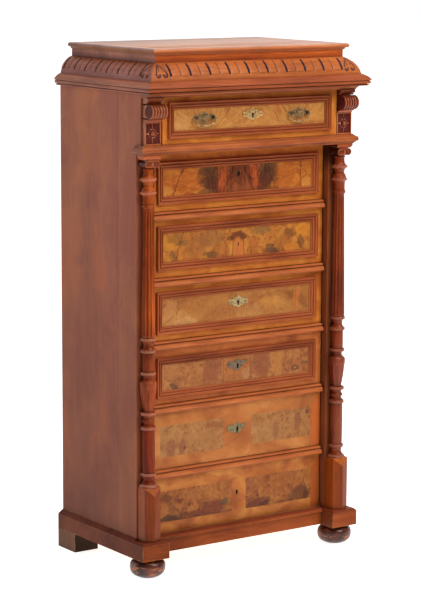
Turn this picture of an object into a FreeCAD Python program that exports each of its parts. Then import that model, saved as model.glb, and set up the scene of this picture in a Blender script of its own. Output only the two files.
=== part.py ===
"""A seven-drawer semainier in walnut and mahogany, with turned three-quarter columns.

Millimetres, +Z up, +X to the right, the front towards -Y.  The origin is at the
centre of the outline on the floor.  Depths are worked out from the back plane.
"""

import FreeCAD, Part
import math
import os
import Sketcher

Vector = FreeCAD.Vector

SIZES = {
    # The case
    "case_width": 732.0,
    "case_depth": 406.0,
    "upper_step": 37.5,
    "side_thickness": 22.0,
    "side_step": 24.0,
    "stile_width": 39.0,
    "stile_thickness": 22.0,
    "back_frame_thickness": 14.0,
    "back_panel_thickness": 7.0,
    "back_member_width": 70.0,
    "bottom_thickness": 18.0,
    # Heights from the floor up
    "foot_height": 56.0,
    "plinth_height": 50.0,
    "opening_seven": 163.5,
    "opening_six": 165.5,
    "opening_five": 159.0,
    "opening_four": 156.0,
    "opening_three": 164.0,
    "opening_two": 167.0,
    "opening_one": 132.0,
    "rail_thickness": 25.0,
    "ledge_thickness": 28.0,
    "top_rail_thickness": 12.0,
    # Crown
    "frieze_inset": 40.0,
    "frieze_setback": 1.5,
    "cornice_height": 34.0,
    "cornice_projection": 61.0,
    "cornice_nose_drop": 15.5,
    "cornice_nose_height": 3.5,
    "cornice_soffit_setback": 15.3,
    "cornice_hollow_setback": 6.5,
    "cornice_hollow_height": 6.5,
    "cornice_cove_setback": 12.0,
    "cornice_cove_drop": 8.5,
    "cornice_fillet": 3.0,
    "gadroon_height": 49.0,
    "gadroon_projection": 39.0,
    "gadroon_bulge": 4.5,
    "frieze_height": 21.0,
    "frieze_thickness": 16.0,
    "top_thickness": 18.0,
    "top_overhang": 13.7,
    "top_foot_setback": 3.0,
    "top_round_setback": 0.7,
    "top_round_height": 2.0,
    "top_nose_height": 5.0,
    "top_cove_setback": 3.6,
    "top_cove_drop": 5.0,
    "top_head_setback": 10.5,
    "bed_projection": 26.5,
    "bed_fillet": 4.0,
    "bed_hollow_setback": 2.0,
    "bed_hollow_drop": 6.5,
    "bed_step_setback": 6.0,
    "bed_step_drop": 7.5,
    "ledge_projection": 12.5,
    # Drawers and what carries them
    "drawer_recess": 24.0,
    "top_drawer_proud": 1.0,
    "drawer_gap": 1.0,
    "running_gap": 0.3,
    "front_thickness": 22.0,
    "drawer_side_thickness": 12.0,
    "drawer_bottom_thickness": 8.0,
    "drawer_bottom_lift": 8.0,
    "drawer_head_room": 6.0,
    "drawer_back_room": 10.0,
    "drawer_back_drop": 6.0,
    "rail_depth": 60.0,
    "rail_nose_setback": 7.5,
    "runner_thickness": 18.0,
    "runner_bearing": 22.0,
    "guide_height": 16.0,
    # Mitred mouldings on the drawer fronts
    "panel_side_margin": 18.0,
    "panel_moulding_width": 24.0,
    "panel_moulding_height": 11.0,
    "panel_lift_one": 17.0,
    "panel_lift_two": 20.0,
    "panel_lift_three": 21.0,
    "panel_lift_four": 19.0,
    "panel_lift_five": 17.0,
    "panel_height_one": 100.0,
    "panel_height_two": 127.0,
    "panel_height_three": 134.0,
    "panel_height_four": 129.0,
    "panel_height_five": 125.0,
    # Plinth
    "plinth_projection": 17.0,
    "plinth_lap": 6.0,
    "plinth_bevel": 12.0,
    "plinth_block_width": 90.0,
    "plinth_block_depth": 60.0,
    "plinth_bead": 7.0,
    "plinth_bead_height": 9.8,
    # Feet
    "bun_radius": 51.0,
    "bun_widest_height": 22.4,
    "bun_neck_radius": 38.0,
    "bun_sole_radius": 32.0,
    "bun_setback": 48.0,
    "rear_foot_width": 80.0,
    "rear_foot_depth": 95.0,
    # Columns, pedestals, capitals and corbels
    "column_inset": 30.0,
    "column_stand_off": 15.0,
    "pedestal_height": 156.5,
    "pedestal_width": 53.0,
    "pedestal_ridge": 12.5,
    "pedestal_slope_drop": 24.0,
    "ring_radius": 23.5,
    "column_seat_radius": 17.5,
    "ring_height": 13.6,
    "neck_radius": 15.0,
    "neck_height": 18.0,
    "base_torus_radius": 25.6,
    "base_torus_height": 11.0,
    "lower_drum_radius": 18.6,
    "lower_drum_height": 122.0,
    "middle_drum_radius": 17.0,
    "middle_drum_height": 52.0,
    "waist_radius": 14.0,
    "waist_height": 26.0,
    "vase_radius": 24.3,
    "vase_height": 95.0,
    "vase_neck_height": 7.0,
    "shaft_foot_radius": 20.2,
    "shaft_head_radius": 15.0,
    "collar_radius": 19.0,
    "collar_height": 15.0,
    "upper_neck_height": 24.0,
    "cavetto_radius": 13.2,
    "cavetto_height": 22.4,
    "head_ring_height": 19.0,
    "column_head_radius": 16.0,
    "column_head_height": 21.0,
    "column_core_radius": 12.0,
    "flute_depth": 1.9,
    "capital_height": 24.0,
    "capital_width": 52.0,
    "abacus_height": 12.0,
    "abacus_width": 56.0,
    "abacus_foot_setback": 5.0,
    "abacus_cove": 4.0,
    "abacus_fillet_height": 6.0,
    "volute_radius": 11.0,
    "volute_proud": 0.5,
    "bell_setback": 3.0,
    "bell_foot": 2.0,
    "egg_radius": 9.0,
    "egg_setback": 6.0,
    "egg_drop": 11.0,
    "corbel_width": 54.0,
    "corbel_gap": 2.0,
    "corbel_cap_height": 13.0,
    "corbel_cap_projection": 16.5,
    "corbel_cap_bulge": 1.0,
    "corbel_cap_bulge_drop": 7.8,
    "corbel_cap_foot_setback": 8.0,
    "corbel_roll_radius": 21.0,
    "corbel_roll_setback": 13.5,
    "corbel_web_half_height": 16.8,
    "corbel_band_height": 10.0,
    "corbel_band_projection": 12.5,
    "corbel_block_height": 68.0,
    "corbel_sinking_margin": 8.5,
    "corbel_sinking_depth": 4.0,
    "corbel_boss_radius": 7.0,
    "corbel_stem_half_width": 2.0,
    "corbel_stem_height": 2.0,
    # Locks and brassware; a keyhole's drop is from the top of its opening
    "keyhole_drop_one": 58.0,
    "keyhole_drop_two": 69.5,
    "keyhole_drop_three": 83.5,
    "keyhole_drop_four": 64.5,
    "keyhole_drop_five": 73.0,
    "keyhole_drop_six": 75.0,
    "keyhole_drop_seven": 74.0,
    "keyhole_radius": 1.9,
    "keyhole_slot_width": 2.4,
    "keyhole_length": 11.0,
    "lock_width": 60.0,
    "lock_height": 46.0,
    "lock_thickness": 9.0,
    "lock_above_key": 12.0,
    "lock_slot_depth": 5.4,
    "escutcheon_width": 70.0,
    "escutcheon_height": 35.0,
    "brass_thickness": 1.5,
    "handle_drop": 3.0,
    "handle_plate_width": 72.0,
    "handle_plate_height": 28.0,
    "handle_post_half_width": 3.8,
    "handle_post_end": 1.5,
    "bail_width": 76.0,
    "bail_drop": 26.0,
    "bail_rod_radius": 2.2,
    "bail_pin_radius": 1.6,
    "bail_pin_clearance": 0.06,
    "bail_pin_inset": 1.0,
    "bail_knuckle_gap": 3.8,
    "bail_stand_off": 7.5,
}

FLUTES = 12
FLUTES_SHOWN = 8
FLUTE_FLAT = 0.4
VASE_SIDES = 8
VASE_SIDES_SHOWN = 5
HANDLE_SHARE = 0.541
ROUND_OF_COLUMN = 238.0
ROUND_OF_ROLL = 210.0
BOW_SIDES = 10
STUD_SIDES = 8
SAME_POINT = 1e-4
NEAR = 0.01
# The vase's height and its swell out from the waist, as shares, from the foot up
VASE = ((0.0, 0.0), (0.42, 0.7), (0.68, 1.0), (1.0, 0.0))
# The ledge's edge as shares of its projection and thickness, and which points are on curves
LEDGE_EDGE = (
    (0.24, 0.0),
    (0.24, 0.107),
    (0.76, 0.179),
    (0.96, 0.25),
    (1.0, 0.339),
    (0.84, 0.5),
    (0.52, 0.625),
    (0.28, 0.786),
    (0.12, 1.0),
)
LEDGE_ROUNDS = (3, 5, 7)
# A panel moulding's section as shares of its width and height, from its inner foot
PANEL_PROFILE = (
    (0.0, 0.0),
    (1.0, 0.0),
    (1.0, 0.6),
    (0.92, 1.0),
    (0.74, 1.0),
    (0.62, 0.6),
    (0.4, 0.5),
    (0.32, 0.75),
    (0.14, 0.75),
    (0.0, 0.35),
)
# The right halves of the brass leaves as shares of half their width and height
ESCUTCHEON_LEAF = (
    (0.0, -1.0),
    (0.35, -0.8),
    (0.5, -0.35),
    (0.8, -0.45),
    (1.0, 0.0),
    (0.75, 0.6),
    (0.42, 0.5),
    (0.25, 0.9),
    (0.0, 1.0),
)
HANDLE_LEAF = (
    (0.0, -1.0),
    (0.325, -0.85),
    (0.433, -0.3),
    (0.889, -0.43),
    (1.0, 0.0),
    (0.889, 0.43),
    (0.433, 0.55),
    (0.18, 1.0),
)
DRAWER_NAMES = ("one", "two", "three", "four", "five", "six", "seven")

doc = FreeCAD.newDocument("semainier")
sheet = doc.addObject("Spreadsheet::Sheet", "sizes")
for row, (alias, number) in enumerate(SIZES.items(), start=1):
    sheet.set(f"A{row}", str(number))
    sheet.setAlias(f"A{row}", alias)
doc.recompute()


class Size:
    """A length that carries both its value and the sheet expression that gives it."""

    def __init__(self, value, text):
        self.value = value
        self.text = text

    def __add__(self, other):
        other = as_size(other)
        return Size(self.value + other.value, f"({self.text} + {other.text})")

    def __sub__(self, other):
        other = as_size(other)
        return Size(self.value - other.value, f"({self.text} - {other.text})")

    def __mul__(self, other):
        other = as_size(other)
        return Size(self.value * other.value, f"({self.text} * {other.text})")

    def __truediv__(self, other):
        other = as_size(other)
        return Size(self.value / other.value, f"({self.text} / {other.text})")

    def __radd__(self, other):
        return as_size(other) + self

    def __rsub__(self, other):
        return as_size(other) - self

    def __rmul__(self, other):
        return as_size(other) * self

    def __neg__(self):
        return Size(-self.value, f"(-1 * {self.text})")


def as_size(item):
    """A plain number becomes a size that is written as that number."""
    if isinstance(item, Size):
        return item
    return Size(float(item), f"({float(item)})")


class Sheet:
    """Reads a cell by its alias, as a Size."""

    def __getattr__(self, alias):
        return Size(float(sheet.get(alias)), f"sizes.{alias}")


s = Sheet()


def bind(item, prop, size):
    item.setExpression(prop, as_size(size).text)


def place(item, x=0, y=0, z=0, rotation=None):
    """Binds an object's position to the sheet, after turning it."""
    if rotation is not None:
        item.Placement = FreeCAD.Placement(Vector(), rotation)
    for axis, size in zip("xyz", (x, y, z)):
        bind(item, f"Placement.Base.{axis}", size)


# ---------------------------------------------------------------- small builders


class Via:
    """A point that an arc passes through, between two corners of an outline."""

    def __init__(self, x, y):
        self.point = (as_size(x), as_size(y))


def body_named(name):
    body = doc.addObject("PartDesign::Body", name)
    body.Label = name
    return body


def sketch_on(body, name, role, offset=None):
    """An empty sketch on one of the body's own origin planes."""
    sketch = body.newObject("Sketcher::SketchObject", f"{body.Name}_{name}")
    plane = next(p for p in body.Origin.OriginFeatures if p.Role == role)
    sketch.AttachmentSupport = (plane, [""])
    sketch.MapMode = "FlatFace"
    if offset is not None:
        bind(sketch, "AttachmentOffset.Base.z", offset)
    return sketch


def flat(point):
    return Vector(point[0].value, point[1].value, 0)


def pin(sketch, geometry, end, point):
    """Ties a vertex to the sheet, both ways from the sketch's origin."""
    for kind, size in zip(("DistanceX", "DistanceY"), point):
        index = sketch.addConstraint(
            Sketcher.Constraint(kind, -1, 1, geometry, end, size.value)
        )
        bind(sketch, f"Constraints[{index}]", size)


def near_end(sketch, geometry, point):
    """1 or 2: the end of an edge that lies at the point."""
    gap = sketch.getPoint(geometry, 1).distanceToPoint(flat(point))
    return 1 if gap < SAME_POINT else 2


def outline(sketch, *items):
    """A closed loop through the corners, with an arc wherever a Via is given."""
    corners = []
    vias = []
    for item in items:
        if isinstance(item, Via):
            vias[-1] = item.point
            continue
        corner = (as_size(item[0]), as_size(item[1]))
        if corners and flat(corner).distanceToPoint(flat(corners[-1])) < SAME_POINT:
            continue
        corners.append(corner)
        vias.append(None)
    edges = []
    for index, corner in enumerate(corners):
        following = corners[(index + 1) % len(corners)]
        if vias[index] is None:
            shape = Part.LineSegment(flat(corner), flat(following))
        else:
            shape = Part.Arc(flat(corner), flat(vias[index]), flat(following))
        edges.append(sketch.addGeometry(shape, False))
    for index, corner in enumerate(corners):
        edge = edges[index]
        previous = edges[index - 1]
        here = near_end(sketch, edge, corner)
        there = near_end(sketch, previous, corner)
        sketch.addConstraint(
            Sketcher.Constraint("Coincident", previous, there, edge, here)
        )
        pin(sketch, edge, here, corner)
    for edge, via in zip(edges, vias):
        if via is not None:
            mark = sketch.addGeometry(Part.Point(flat(via)), True)
            pin(sketch, mark, 1, via)
            sketch.addConstraint(Sketcher.Constraint("PointOnObject", mark, 1, edge))


def rectangle(sketch, x0, x1, y0, y1):
    outline(sketch, (x0, y0), (x1, y0), (x1, y1), (x0, y1))


def pad(body, sketch, length, side="One side"):
    feature = body.newObject("PartDesign::Pad", f"{sketch.Name}_pad")
    feature.Profile = sketch
    feature.SideType = side
    bind(feature, "Length", length)
    body.Tip = feature
    return feature


def pocket(body, sketch, length=None):
    """Cuts the sketch right through, or to a depth."""
    feature = body.newObject("PartDesign::Pocket", f"{sketch.Name}_cut")
    feature.Profile = sketch
    if length is None:
        feature.SideType = "Symmetric"
        bind(feature, "Length", 2 * top_bottom)
    else:
        bind(feature, "Length", length)
    body.Tip = feature
    return feature


def loft(body, sections):
    """A straight-ruled solid through outlines that have the same number of corners."""
    feature = body.newObject("PartDesign::AdditiveLoft", f"{body.Name}_loft")
    feature.Profile = sections[0]
    feature.Sections = sections[1:]
    feature.Ruled = True
    body.Tip = feature


def revolve(body, sketch, axis="V_Axis", angle=360.0):
    """Turn a sketch about one of its axes, evenly to both sides if not all the way."""
    feature = body.newObject("PartDesign::Revolution", f"{sketch.Name}_turned")
    feature.Profile = sketch
    feature.ReferenceAxis = (sketch, [axis])
    feature.Midplane = angle < 360.0
    feature.Angle = angle
    body.Tip = feature
    return feature


def board(name, x, y, z):
    """A plain board between two faces each way."""
    box = doc.addObject("Part::Box", name)
    box.Label = name
    for prop, (low, high) in zip(("Length", "Width", "Height"), (x, y, z)):
        bind(box, prop, as_size(high) - low)
    place(box, x[0], y[0], z[0])
    return box


def rod(name, radius, length, x, y, z, rotation=None):
    """A round rod from a point along the rotated Z axis."""
    item = doc.addObject("Part::Cylinder", name)
    item.Label = name
    bind(item, "Radius", radius)
    bind(item, "Height", length)
    place(item, x, y, z, rotation)
    return item


def stud(name, radius, x, y, z):
    """An eight-sided stud that stands forward by its radius."""
    body = body_named(name)
    sketch = sketch_on(body, "outline", "XZ_Plane")
    pitch = 2 * math.pi / STUD_SIDES
    angles = [pitch * (index + 0.5) for index in range(STUD_SIDES)]
    outline(sketch, *((radius * math.cos(a), radius * math.sin(a)) for a in angles))
    pad(body, sketch, radius)
    place(body, x, y, z)
    return body


def fused(name, pieces):
    item = doc.addObject("Part::MultiFuse", name)
    item.Label = name
    item.Shapes = pieces
    item.Refine = True
    return item


def cut(name, base, tool):
    item = doc.addObject("Part::Cut", name)
    item.Label = name
    item.Base = base
    item.Tool = tool
    return item


def group(name, pieces):
    """Several separate solids that make one node."""
    item = doc.addObject("Part::Compound", name)
    item.Label = name
    item.Links = pieces
    return item


def mirrored(side, low, high):
    """A span across X, on the right (+1) or left (-1) of the centre line."""
    return (low, high) if side > 0 else (-high, -low)


TURN_X = FreeCAD.Rotation(Vector(0, 1, 0), 90)
TURN_FRONT = FreeCAD.Rotation(Vector(1, 0, 0), 90)
SIDES = {"left": -1, "right": 1}


# ---------------------------------------------------------------- main planes

crown_width = s.case_width - 2 * s.frieze_inset
crown_half = crown_width / 2
crown_depth = s.case_depth + s.upper_step - s.frieze_setback
back = (crown_depth + s.cornice_projection) / 2
stile_front = back - s.case_depth
upper_front = stile_front - s.upper_step
frieze_front = back - crown_depth
side_front = stile_front - s.side_step
half_case = s.case_width / 2
side_inner = half_case - s.side_thickness
half_opening = side_inner - s.stile_width
drawer_front = stile_front + s.drawer_recess
top_drawer_front = upper_front - s.top_drawer_proud
back_face = back - s.back_frame_thickness
rail_nose = stile_front + s.rail_nose_setback
rail_front = rail_nose + s.rail_thickness / 2
rail_back = rail_front + s.rail_depth

plinth_top = s.foot_height + s.plinth_height
openings = {}
level = plinth_top
for drawer in reversed(DRAWER_NAMES):
    top = level + getattr(s, f"opening_{drawer}")
    openings[drawer] = (level, top)
    level = top + (s.ledge_thickness if drawer == "two" else s.rail_thickness)
ledge_bottom = openings["two"][1]
ledge_top = openings["one"][0]
top_rail_bottom = openings["one"][1]
cornice_bottom = top_rail_bottom + s.top_rail_thickness
gadroon_bottom = cornice_bottom + s.cornice_height
frieze_bottom = gadroon_bottom + s.gadroon_height
top_bottom = frieze_bottom + s.frieze_height
column_x = half_case - s.column_inset
column_y = stile_front - s.column_stand_off
pedestal_top = plinth_top + s.pedestal_height
capital_top = ledge_bottom - s.abacus_height
capital_bottom = capital_top - s.capital_height


# ---------------------------------------------------------------- the case


def side_panel(name, side):
    """One board whose upper part steps forward to carry the corbel."""
    body = body_named(name)
    sketch = sketch_on(body, "outline", "YZ_Plane")
    outline(
        sketch,
        (back, plinth_top),
        (back, cornice_bottom),
        (side_front, cornice_bottom),
        (side_front, ledge_bottom),
        (stile_front, ledge_bottom),
        (stile_front, plinth_top),
    )
    pad(body, sketch, s.side_thickness, "One side")
    place(body, mirrored(side, side_inner, half_case)[0])
    return body


def front_stiles():
    """A post behind each column and a shorter one behind each corbel."""
    posts = []
    for name, side in SIDES.items():
        across = mirrored(side, half_opening, side_inner)
        lower = (stile_front, stile_front + s.stile_thickness)
        upper = (side_front, side_front + s.stile_thickness)
        posts.append(board(f"lower_stile_{name}", across, lower, (plinth_top, ledge_bottom)))
        posts.append(board(f"upper_stile_{name}", across, upper, (ledge_top, top_rail_bottom)))
    return group("front_stiles", posts)


def back_panel():
    """A framed back: two stiles, three rails and a muntin around thinner panels."""
    low = plinth_top
    high = cornice_bottom
    width = s.back_member_width
    middle = (low + high) / 2
    frame = board("back_frame_blank", (-side_inner, side_inner), (back_face, back), (low, high))
    lights = []
    fields = []
    for column, across in enumerate(
        (
            (-side_inner + width, -width / 2),
            (width / 2, side_inner - width),
        )
    ):
        for tier, upright in enumerate(
            (
                (low + width, middle - width / 2),
                (middle + width / 2, high - width),
            )
        ):
            tag = f"back_{column}_{tier}"
            through = (back_face - s.back_frame_thickness, back + s.back_frame_thickness)
            lights.append(board(f"{tag}_light", across, through, upright))
            sunk = (back_face, back_face + s.back_panel_thickness)
            fields.append(board(f"{tag}_field", across, sunk, upright))
    framed = cut("back_frame", frame, group("back_lights", lights))
    return group("back_panel", [framed, crown_back()] + fields)


def crown_back():
    """The board that closes the crown behind, cut to the inside of its mouldings."""
    inner = crown_half - s.frieze_thickness
    body = body_named("crown_back")
    sketch = sketch_on(body, "outline", "XZ_Plane")
    outline(
        sketch,
        (-side_inner, cornice_bottom),
        (side_inner, cornice_bottom),
        (side_inner, gadroon_bottom),
        (inner, frieze_bottom),
        (inner, top_bottom),
        (-inner, top_bottom),
        (-inner, frieze_bottom),
        (-side_inner, gadroon_bottom),
    )
    pad(body, sketch, s.back_frame_thickness)
    place(body, 0, back, 0)
    return body


def bottom_board():
    return board(
        "bottom_board",
        (-side_inner, side_inner),
        (stile_front + s.stile_thickness, back_face),
        (plinth_top - s.bottom_thickness, plinth_top),
    )


def top_panel():
    return board(
        "top_panel",
        (-side_inner, side_inner),
        (side_front, back_face),
        (top_rail_bottom, cornice_bottom),
    )


def drawer_rails():
    """Dividers between the lower drawers, each with a half-round nose."""
    rails = []
    for drawer in DRAWER_NAMES[2:]:
        low = openings[drawer][1]
        high = low + s.rail_thickness
        body = body_named(f"rail_over_{drawer}")
        sketch = sketch_on(body, "section", "YZ_Plane")
        outline(
            sketch,
            (rail_back, low),
            (rail_back, high),
            (rail_front, high),
            Via(rail_nose, (low + high) / 2),
            (rail_front, low),
        )
        pad(body, sketch, 2 * half_opening, "Symmetric")
        rails.append(body)
    across = (-side_inner, side_inner)
    ledge = board("rail_over_two", across, (side_front, rail_back), (ledge_bottom, ledge_top))
    return group("drawer_rails", rails + [ledge])


def drawer_runners():
    """A runner with a guide strip on each side, under drawers one to six."""
    runners = []
    inner = half_opening - s.runner_bearing
    for drawer in DRAWER_NAMES[:-1]:
        level = openings[drawer][0]
        along = (rail_back, back_face)
        for name, side in SIDES.items():
            across = mirrored(side, inner, side_inner)
            upright = (level - s.runner_thickness, level)
            runners.append(board(f"runner_{drawer}_{name}", across, along, upright))
            across = mirrored(side, half_opening, side_inner)
            upright = (level, level + s.guide_height)
            runners.append(board(f"guide_{drawer}_{name}", across, along, upright))
    return group("drawer_runners", runners)


# ---------------------------------------------------------------- mouldings


def stick(name, profile, length, mitres):
    """A length of moulding along X.  Its profile runs outwards (+Y) and up (+Z).

    A mitred end is cut at 45 degrees through the sight line at Y = 0, so that the
    moulding grows longer outwards.  mitres holds -1, 1 or both, for the two ends.
    """
    outward = [item.point[0] if isinstance(item, Via) else as_size(item[0]) for item in profile]
    widest = max(outward, key=lambda size: abs(size.value))
    if widest.value < 0:
        widest = -widest
    reach = widest + widest
    body = body_named(name)
    section = sketch_on(body, "section", "YZ_Plane")
    outline(section, *profile)
    pad(body, section, length + 2 * reach, "Symmetric")
    for tag, end in (("a", -1), ("b", 1)):
        trim = sketch_on(body, f"trim_{tag}", "XY_Plane")
        sight = end * length / 2
        tip = sight + end * reach
        if end in mitres:
            outline(trim, (sight - end * reach, -reach), (tip, reach), (tip, -reach))
        else:
            outline(trim, (sight, -reach), (tip, -reach), (tip, reach), (sight, reach))
        pocket(body, trim)
    return body


def turned(angle):
    return FreeCAD.Rotation(Vector(0, 0, 1), angle)


def crown_moulding(name, profile, level):
    """A moulding round the crown's front and sides, mitred at the front corners."""
    face = stick(f"{name}_front", profile, crown_width, (-1, 1))
    place(face, 0, frieze_front, level, turned(180))
    pieces = [face]
    for tag, side in SIDES.items():
        piece = stick(f"{name}_{tag}", profile, crown_depth, (side,))
        place(piece, side * crown_half, (back + frieze_front) / 2, level, turned(-90 * side))
        pieces.append(piece)
    return group(name, pieces)


def cornice_moulding():
    """A hollow below the nose and a cavetto above it."""
    out = s.cornice_projection
    up = s.cornice_height
    seat = s.frieze_inset - s.side_thickness
    profile = (
        (seat, 0),
        (out - s.cornice_soffit_setback, 0),
        Via(out - s.cornice_hollow_setback, s.cornice_hollow_height),
        (out, up - s.cornice_nose_drop - s.cornice_nose_height),
        (out, up - s.cornice_nose_drop),
        Via(out - s.cornice_cove_setback, up - s.cornice_cove_drop),
        (s.gadroon_projection + s.cornice_fillet, up - s.cornice_fillet),
        (s.gadroon_projection + s.cornice_fillet, up),
        (seat, up),
    )
    return crown_moulding("cornice_moulding", profile, cornice_bottom)


def gadroon_moulding():
    """The big ovolo under the frieze."""
    out = s.gadroon_projection
    up = s.gadroon_height
    profile = (
        (s.frieze_inset - s.side_thickness, 0),
        (out, 0),
        Via(out / 2 + s.gadroon_bulge, up / 2 + s.gadroon_bulge),
        (0, up),
        (-s.frieze_thickness, up),
    )
    return crown_moulding("gadroon_moulding", profile, gadroon_bottom)


def frieze():
    profile = (
        (-s.frieze_thickness, 0),
        (0, 0),
        (0, s.frieze_height),
        (-s.frieze_thickness, s.frieze_height),
    )
    return crown_moulding("frieze", profile, frieze_bottom)


def top_board():
    """A solid board with a moulded edge on three sides: two crossed prisms."""
    up = s.top_thickness
    nose = s.top_overhang

    def edge(base, sign):
        return (
            (base + sign * (nose - s.top_foot_setback), 0),
            Via(base + sign * (nose - s.top_round_setback), s.top_round_height),
            (base + sign * nose, s.top_nose_height),
            Via(base + sign * (nose - s.top_cove_setback), up - s.top_cove_drop),
            (base + sign * (nose - s.top_head_setback), up),
        )

    along = body_named("top_board_depth")
    section = sketch_on(along, "section", "YZ_Plane")
    outline(section, (back, 0), *edge(frieze_front, -1), (back, up))
    pad(along, section, crown_width + 4 * nose, "Symmetric")
    across = body_named("top_board_width")
    section = sketch_on(across, "section", "XZ_Plane")
    left = list(edge(-crown_half, -1))
    left.reverse()
    outline(section, *edge(crown_half, 1), *left)
    pad(across, section, 2 * (crown_depth + 4 * nose), "Symmetric")
    item = doc.addObject("Part::MultiCommon", "top_board")
    item.Label = "top_board"
    item.Shapes = [along, across]
    place(item, 0, 0, top_bottom)
    return item


def bed_moulding():
    """The stepped strip under the cornice, across the front only."""
    body = body_named("bed_moulding")
    nose = upper_front - s.bed_projection
    step = nose + s.bed_step_setback
    up = s.top_rail_thickness
    sketch = sketch_on(body, "section", "YZ_Plane")
    outline(
        sketch,
        (side_front, 0),
        (side_front, up),
        (nose, up),
        (nose, up - s.bed_fillet),
        Via(nose + s.bed_hollow_setback, up - s.bed_hollow_drop),
        (step, up - s.bed_step_drop),
        (step, 0),
    )
    pad(body, sketch, s.case_width, "Symmetric")
    place(body, 0, 0, top_rail_bottom)
    return body


def ledge_moulding():
    """The moulding between drawers one and two, returned on the sides."""
    out = s.ledge_projection
    up = s.ledge_thickness
    inner = upper_front - side_front
    edge = []
    for index, (across, height) in enumerate(LEDGE_EDGE):
        point = (out * across, up * height)
        edge.append(Via(*point) if index in LEDGE_ROUNDS else point)
    face = ((inner, 0), *edge, (inner, up))
    returned = ((0, 0), *edge, (0, up))
    front = stick("ledge_moulding_front", face, s.case_width, (-1, 1))
    place(front, 0, upper_front, ledge_bottom, turned(180))
    pieces = [front]
    length = stile_front - upper_front
    middle = (stile_front + upper_front) / 2
    for name, side in SIDES.items():
        piece = stick(f"ledge_moulding_{name}", returned, length, (side,))
        place(piece, side * half_case, middle, ledge_bottom, turned(-90 * side))
        pieces.append(piece)
    return group("ledge_moulding", pieces)


# ---------------------------------------------------------------- plinth and feet


def plinth_frame():
    """Side boards with a bevelled lap, front and rear boards, and corner blocks."""
    out = half_case + s.plinth_projection
    lap = plinth_top + s.plinth_lap
    pieces = []
    for name, side in SIDES.items():
        body = body_named(f"plinth_side_{name}")
        sketch = sketch_on(body, "section", "XZ_Plane")
        outline(
            sketch,
            (side * side_inner, s.foot_height),
            (side * out, s.foot_height),
            (side * out, lap - s.plinth_bevel),
            (side * half_case, lap),
            (side * half_case, plinth_top),
            (side * side_inner, plinth_top),
        )
        pad(body, sketch, s.case_depth)
        place(body, 0, back, 0)
        pieces.append(body)
    across = (-side_inner, side_inner)
    upright = (s.foot_height, plinth_top)
    front = (stile_front, stile_front + s.stile_thickness)
    pieces.append(board("plinth_front", across, front, upright))
    pieces.append(board("plinth_rear", across, (back_face, back), upright))
    pieces.append(plinth_bead())
    for name, side in SIDES.items():
        pieces.append(plinth_block(f"plinth_block_{name}", side))
    return group("plinth_frame", pieces)


def plinth_bead():
    """A quarter-round along the top of the front board, between the blocks."""
    body = body_named("plinth_bead")
    sketch = sketch_on(body, "section", "YZ_Plane")
    bead = s.plinth_bead
    arc = math.sqrt(0.5)
    outline(
        sketch,
        (stile_front, plinth_top),
        Via(stile_front - bead * arc, plinth_top - bead * (1 - arc)),
        (stile_front - bead, plinth_top - bead),
        (stile_front - bead, plinth_top - s.plinth_bead_height),
        (stile_front, plinth_top - s.plinth_bead_height),
    )
    length = 2 * (half_case + s.plinth_projection - s.plinth_block_width)
    pad(body, sketch, length, "Symmetric")
    return body


def plinth_block(name, side):
    """A corner block with its top edges bevelled back to the pedestal."""
    out = half_case + s.plinth_projection
    body = body_named(name)
    sketch = sketch_on(body, "plan", "XY_Plane", s.foot_height)
    low, high = mirrored(side, out - s.plinth_block_width, out)
    rectangle(sketch, low, high, stile_front - s.plinth_block_depth, stile_front)
    block = pad(body, sketch, s.plinth_height)
    doc.recompute()
    level = plinth_top.value
    names = []
    for index, edge in enumerate(block.Shape.Edges, start=1):
        box = edge.BoundBox
        on_top = box.ZMin > level - NEAR
        at_back = box.YMin > stile_front.value - NEAR
        if on_top and not at_back:
            names.append(f"Edge{index}")
    bevel = body.newObject("PartDesign::Chamfer", f"{name}_bevel")
    bevel.Base = (block, names)
    bind(bevel, "Size", s.plinth_lap)
    body.Tip = bevel
    return body


def bun_feet():
    """Two turned feet under the corner blocks."""
    up = s.foot_height
    feet = []
    for name, side in SIDES.items():
        body = body_named(f"bun_foot_{name}")
        sketch = sketch_on(body, "section", "XZ_Plane")
        outline(
            sketch,
            (0, 0),
            (s.bun_sole_radius, 0),
            (s.bun_radius, s.bun_widest_height),
            (s.bun_neck_radius, up),
            (0, up),
        )
        revolve(body, sketch)
        place(body, side * column_x, stile_front - s.plinth_block_depth + s.bun_setback, 0)
        feet.append(body)
    return group("bun_feet", feet)


def rear_feet():
    out = half_case + s.plinth_projection
    feet = []
    for name, side in SIDES.items():
        across = mirrored(side, out - s.rear_foot_width, out)
        feet.append(
            board(f"rear_foot_{name}", across, (back - s.rear_foot_depth, back), (0, s.foot_height))
        )
    return group("rear_feet", feet)


# ---------------------------------------------------------------- columns


def pedestal(name, side):
    """A block with a vertical arris in front, sloped off under the column."""
    half = s.pedestal_width / 2
    body = body_named(name)
    plan = sketch_on(body, "plan", "XY_Plane")
    nose = upper_front - s.pedestal_ridge
    outline(
        plan,
        (-half, stile_front),
        (-half, upper_front),
        (0, nose),
        (half, upper_front),
        (half, stile_front),
    )
    pad(body, plan, s.pedestal_height)
    slope = sketch_on(body, "slope", "YZ_Plane")
    beyond = s.pedestal_ridge
    fall = s.pedestal_slope_drop / s.pedestal_ridge
    outline(
        slope,
        (upper_front, s.pedestal_height),
        (nose - beyond, s.pedestal_height - s.pedestal_slope_drop - beyond * fall),
        (nose - beyond, s.pedestal_height + beyond),
        (upper_front, s.pedestal_height + beyond),
    )
    pocket(body, slope)
    place(body, side * column_x, 0, plinth_top)
    return body


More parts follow.
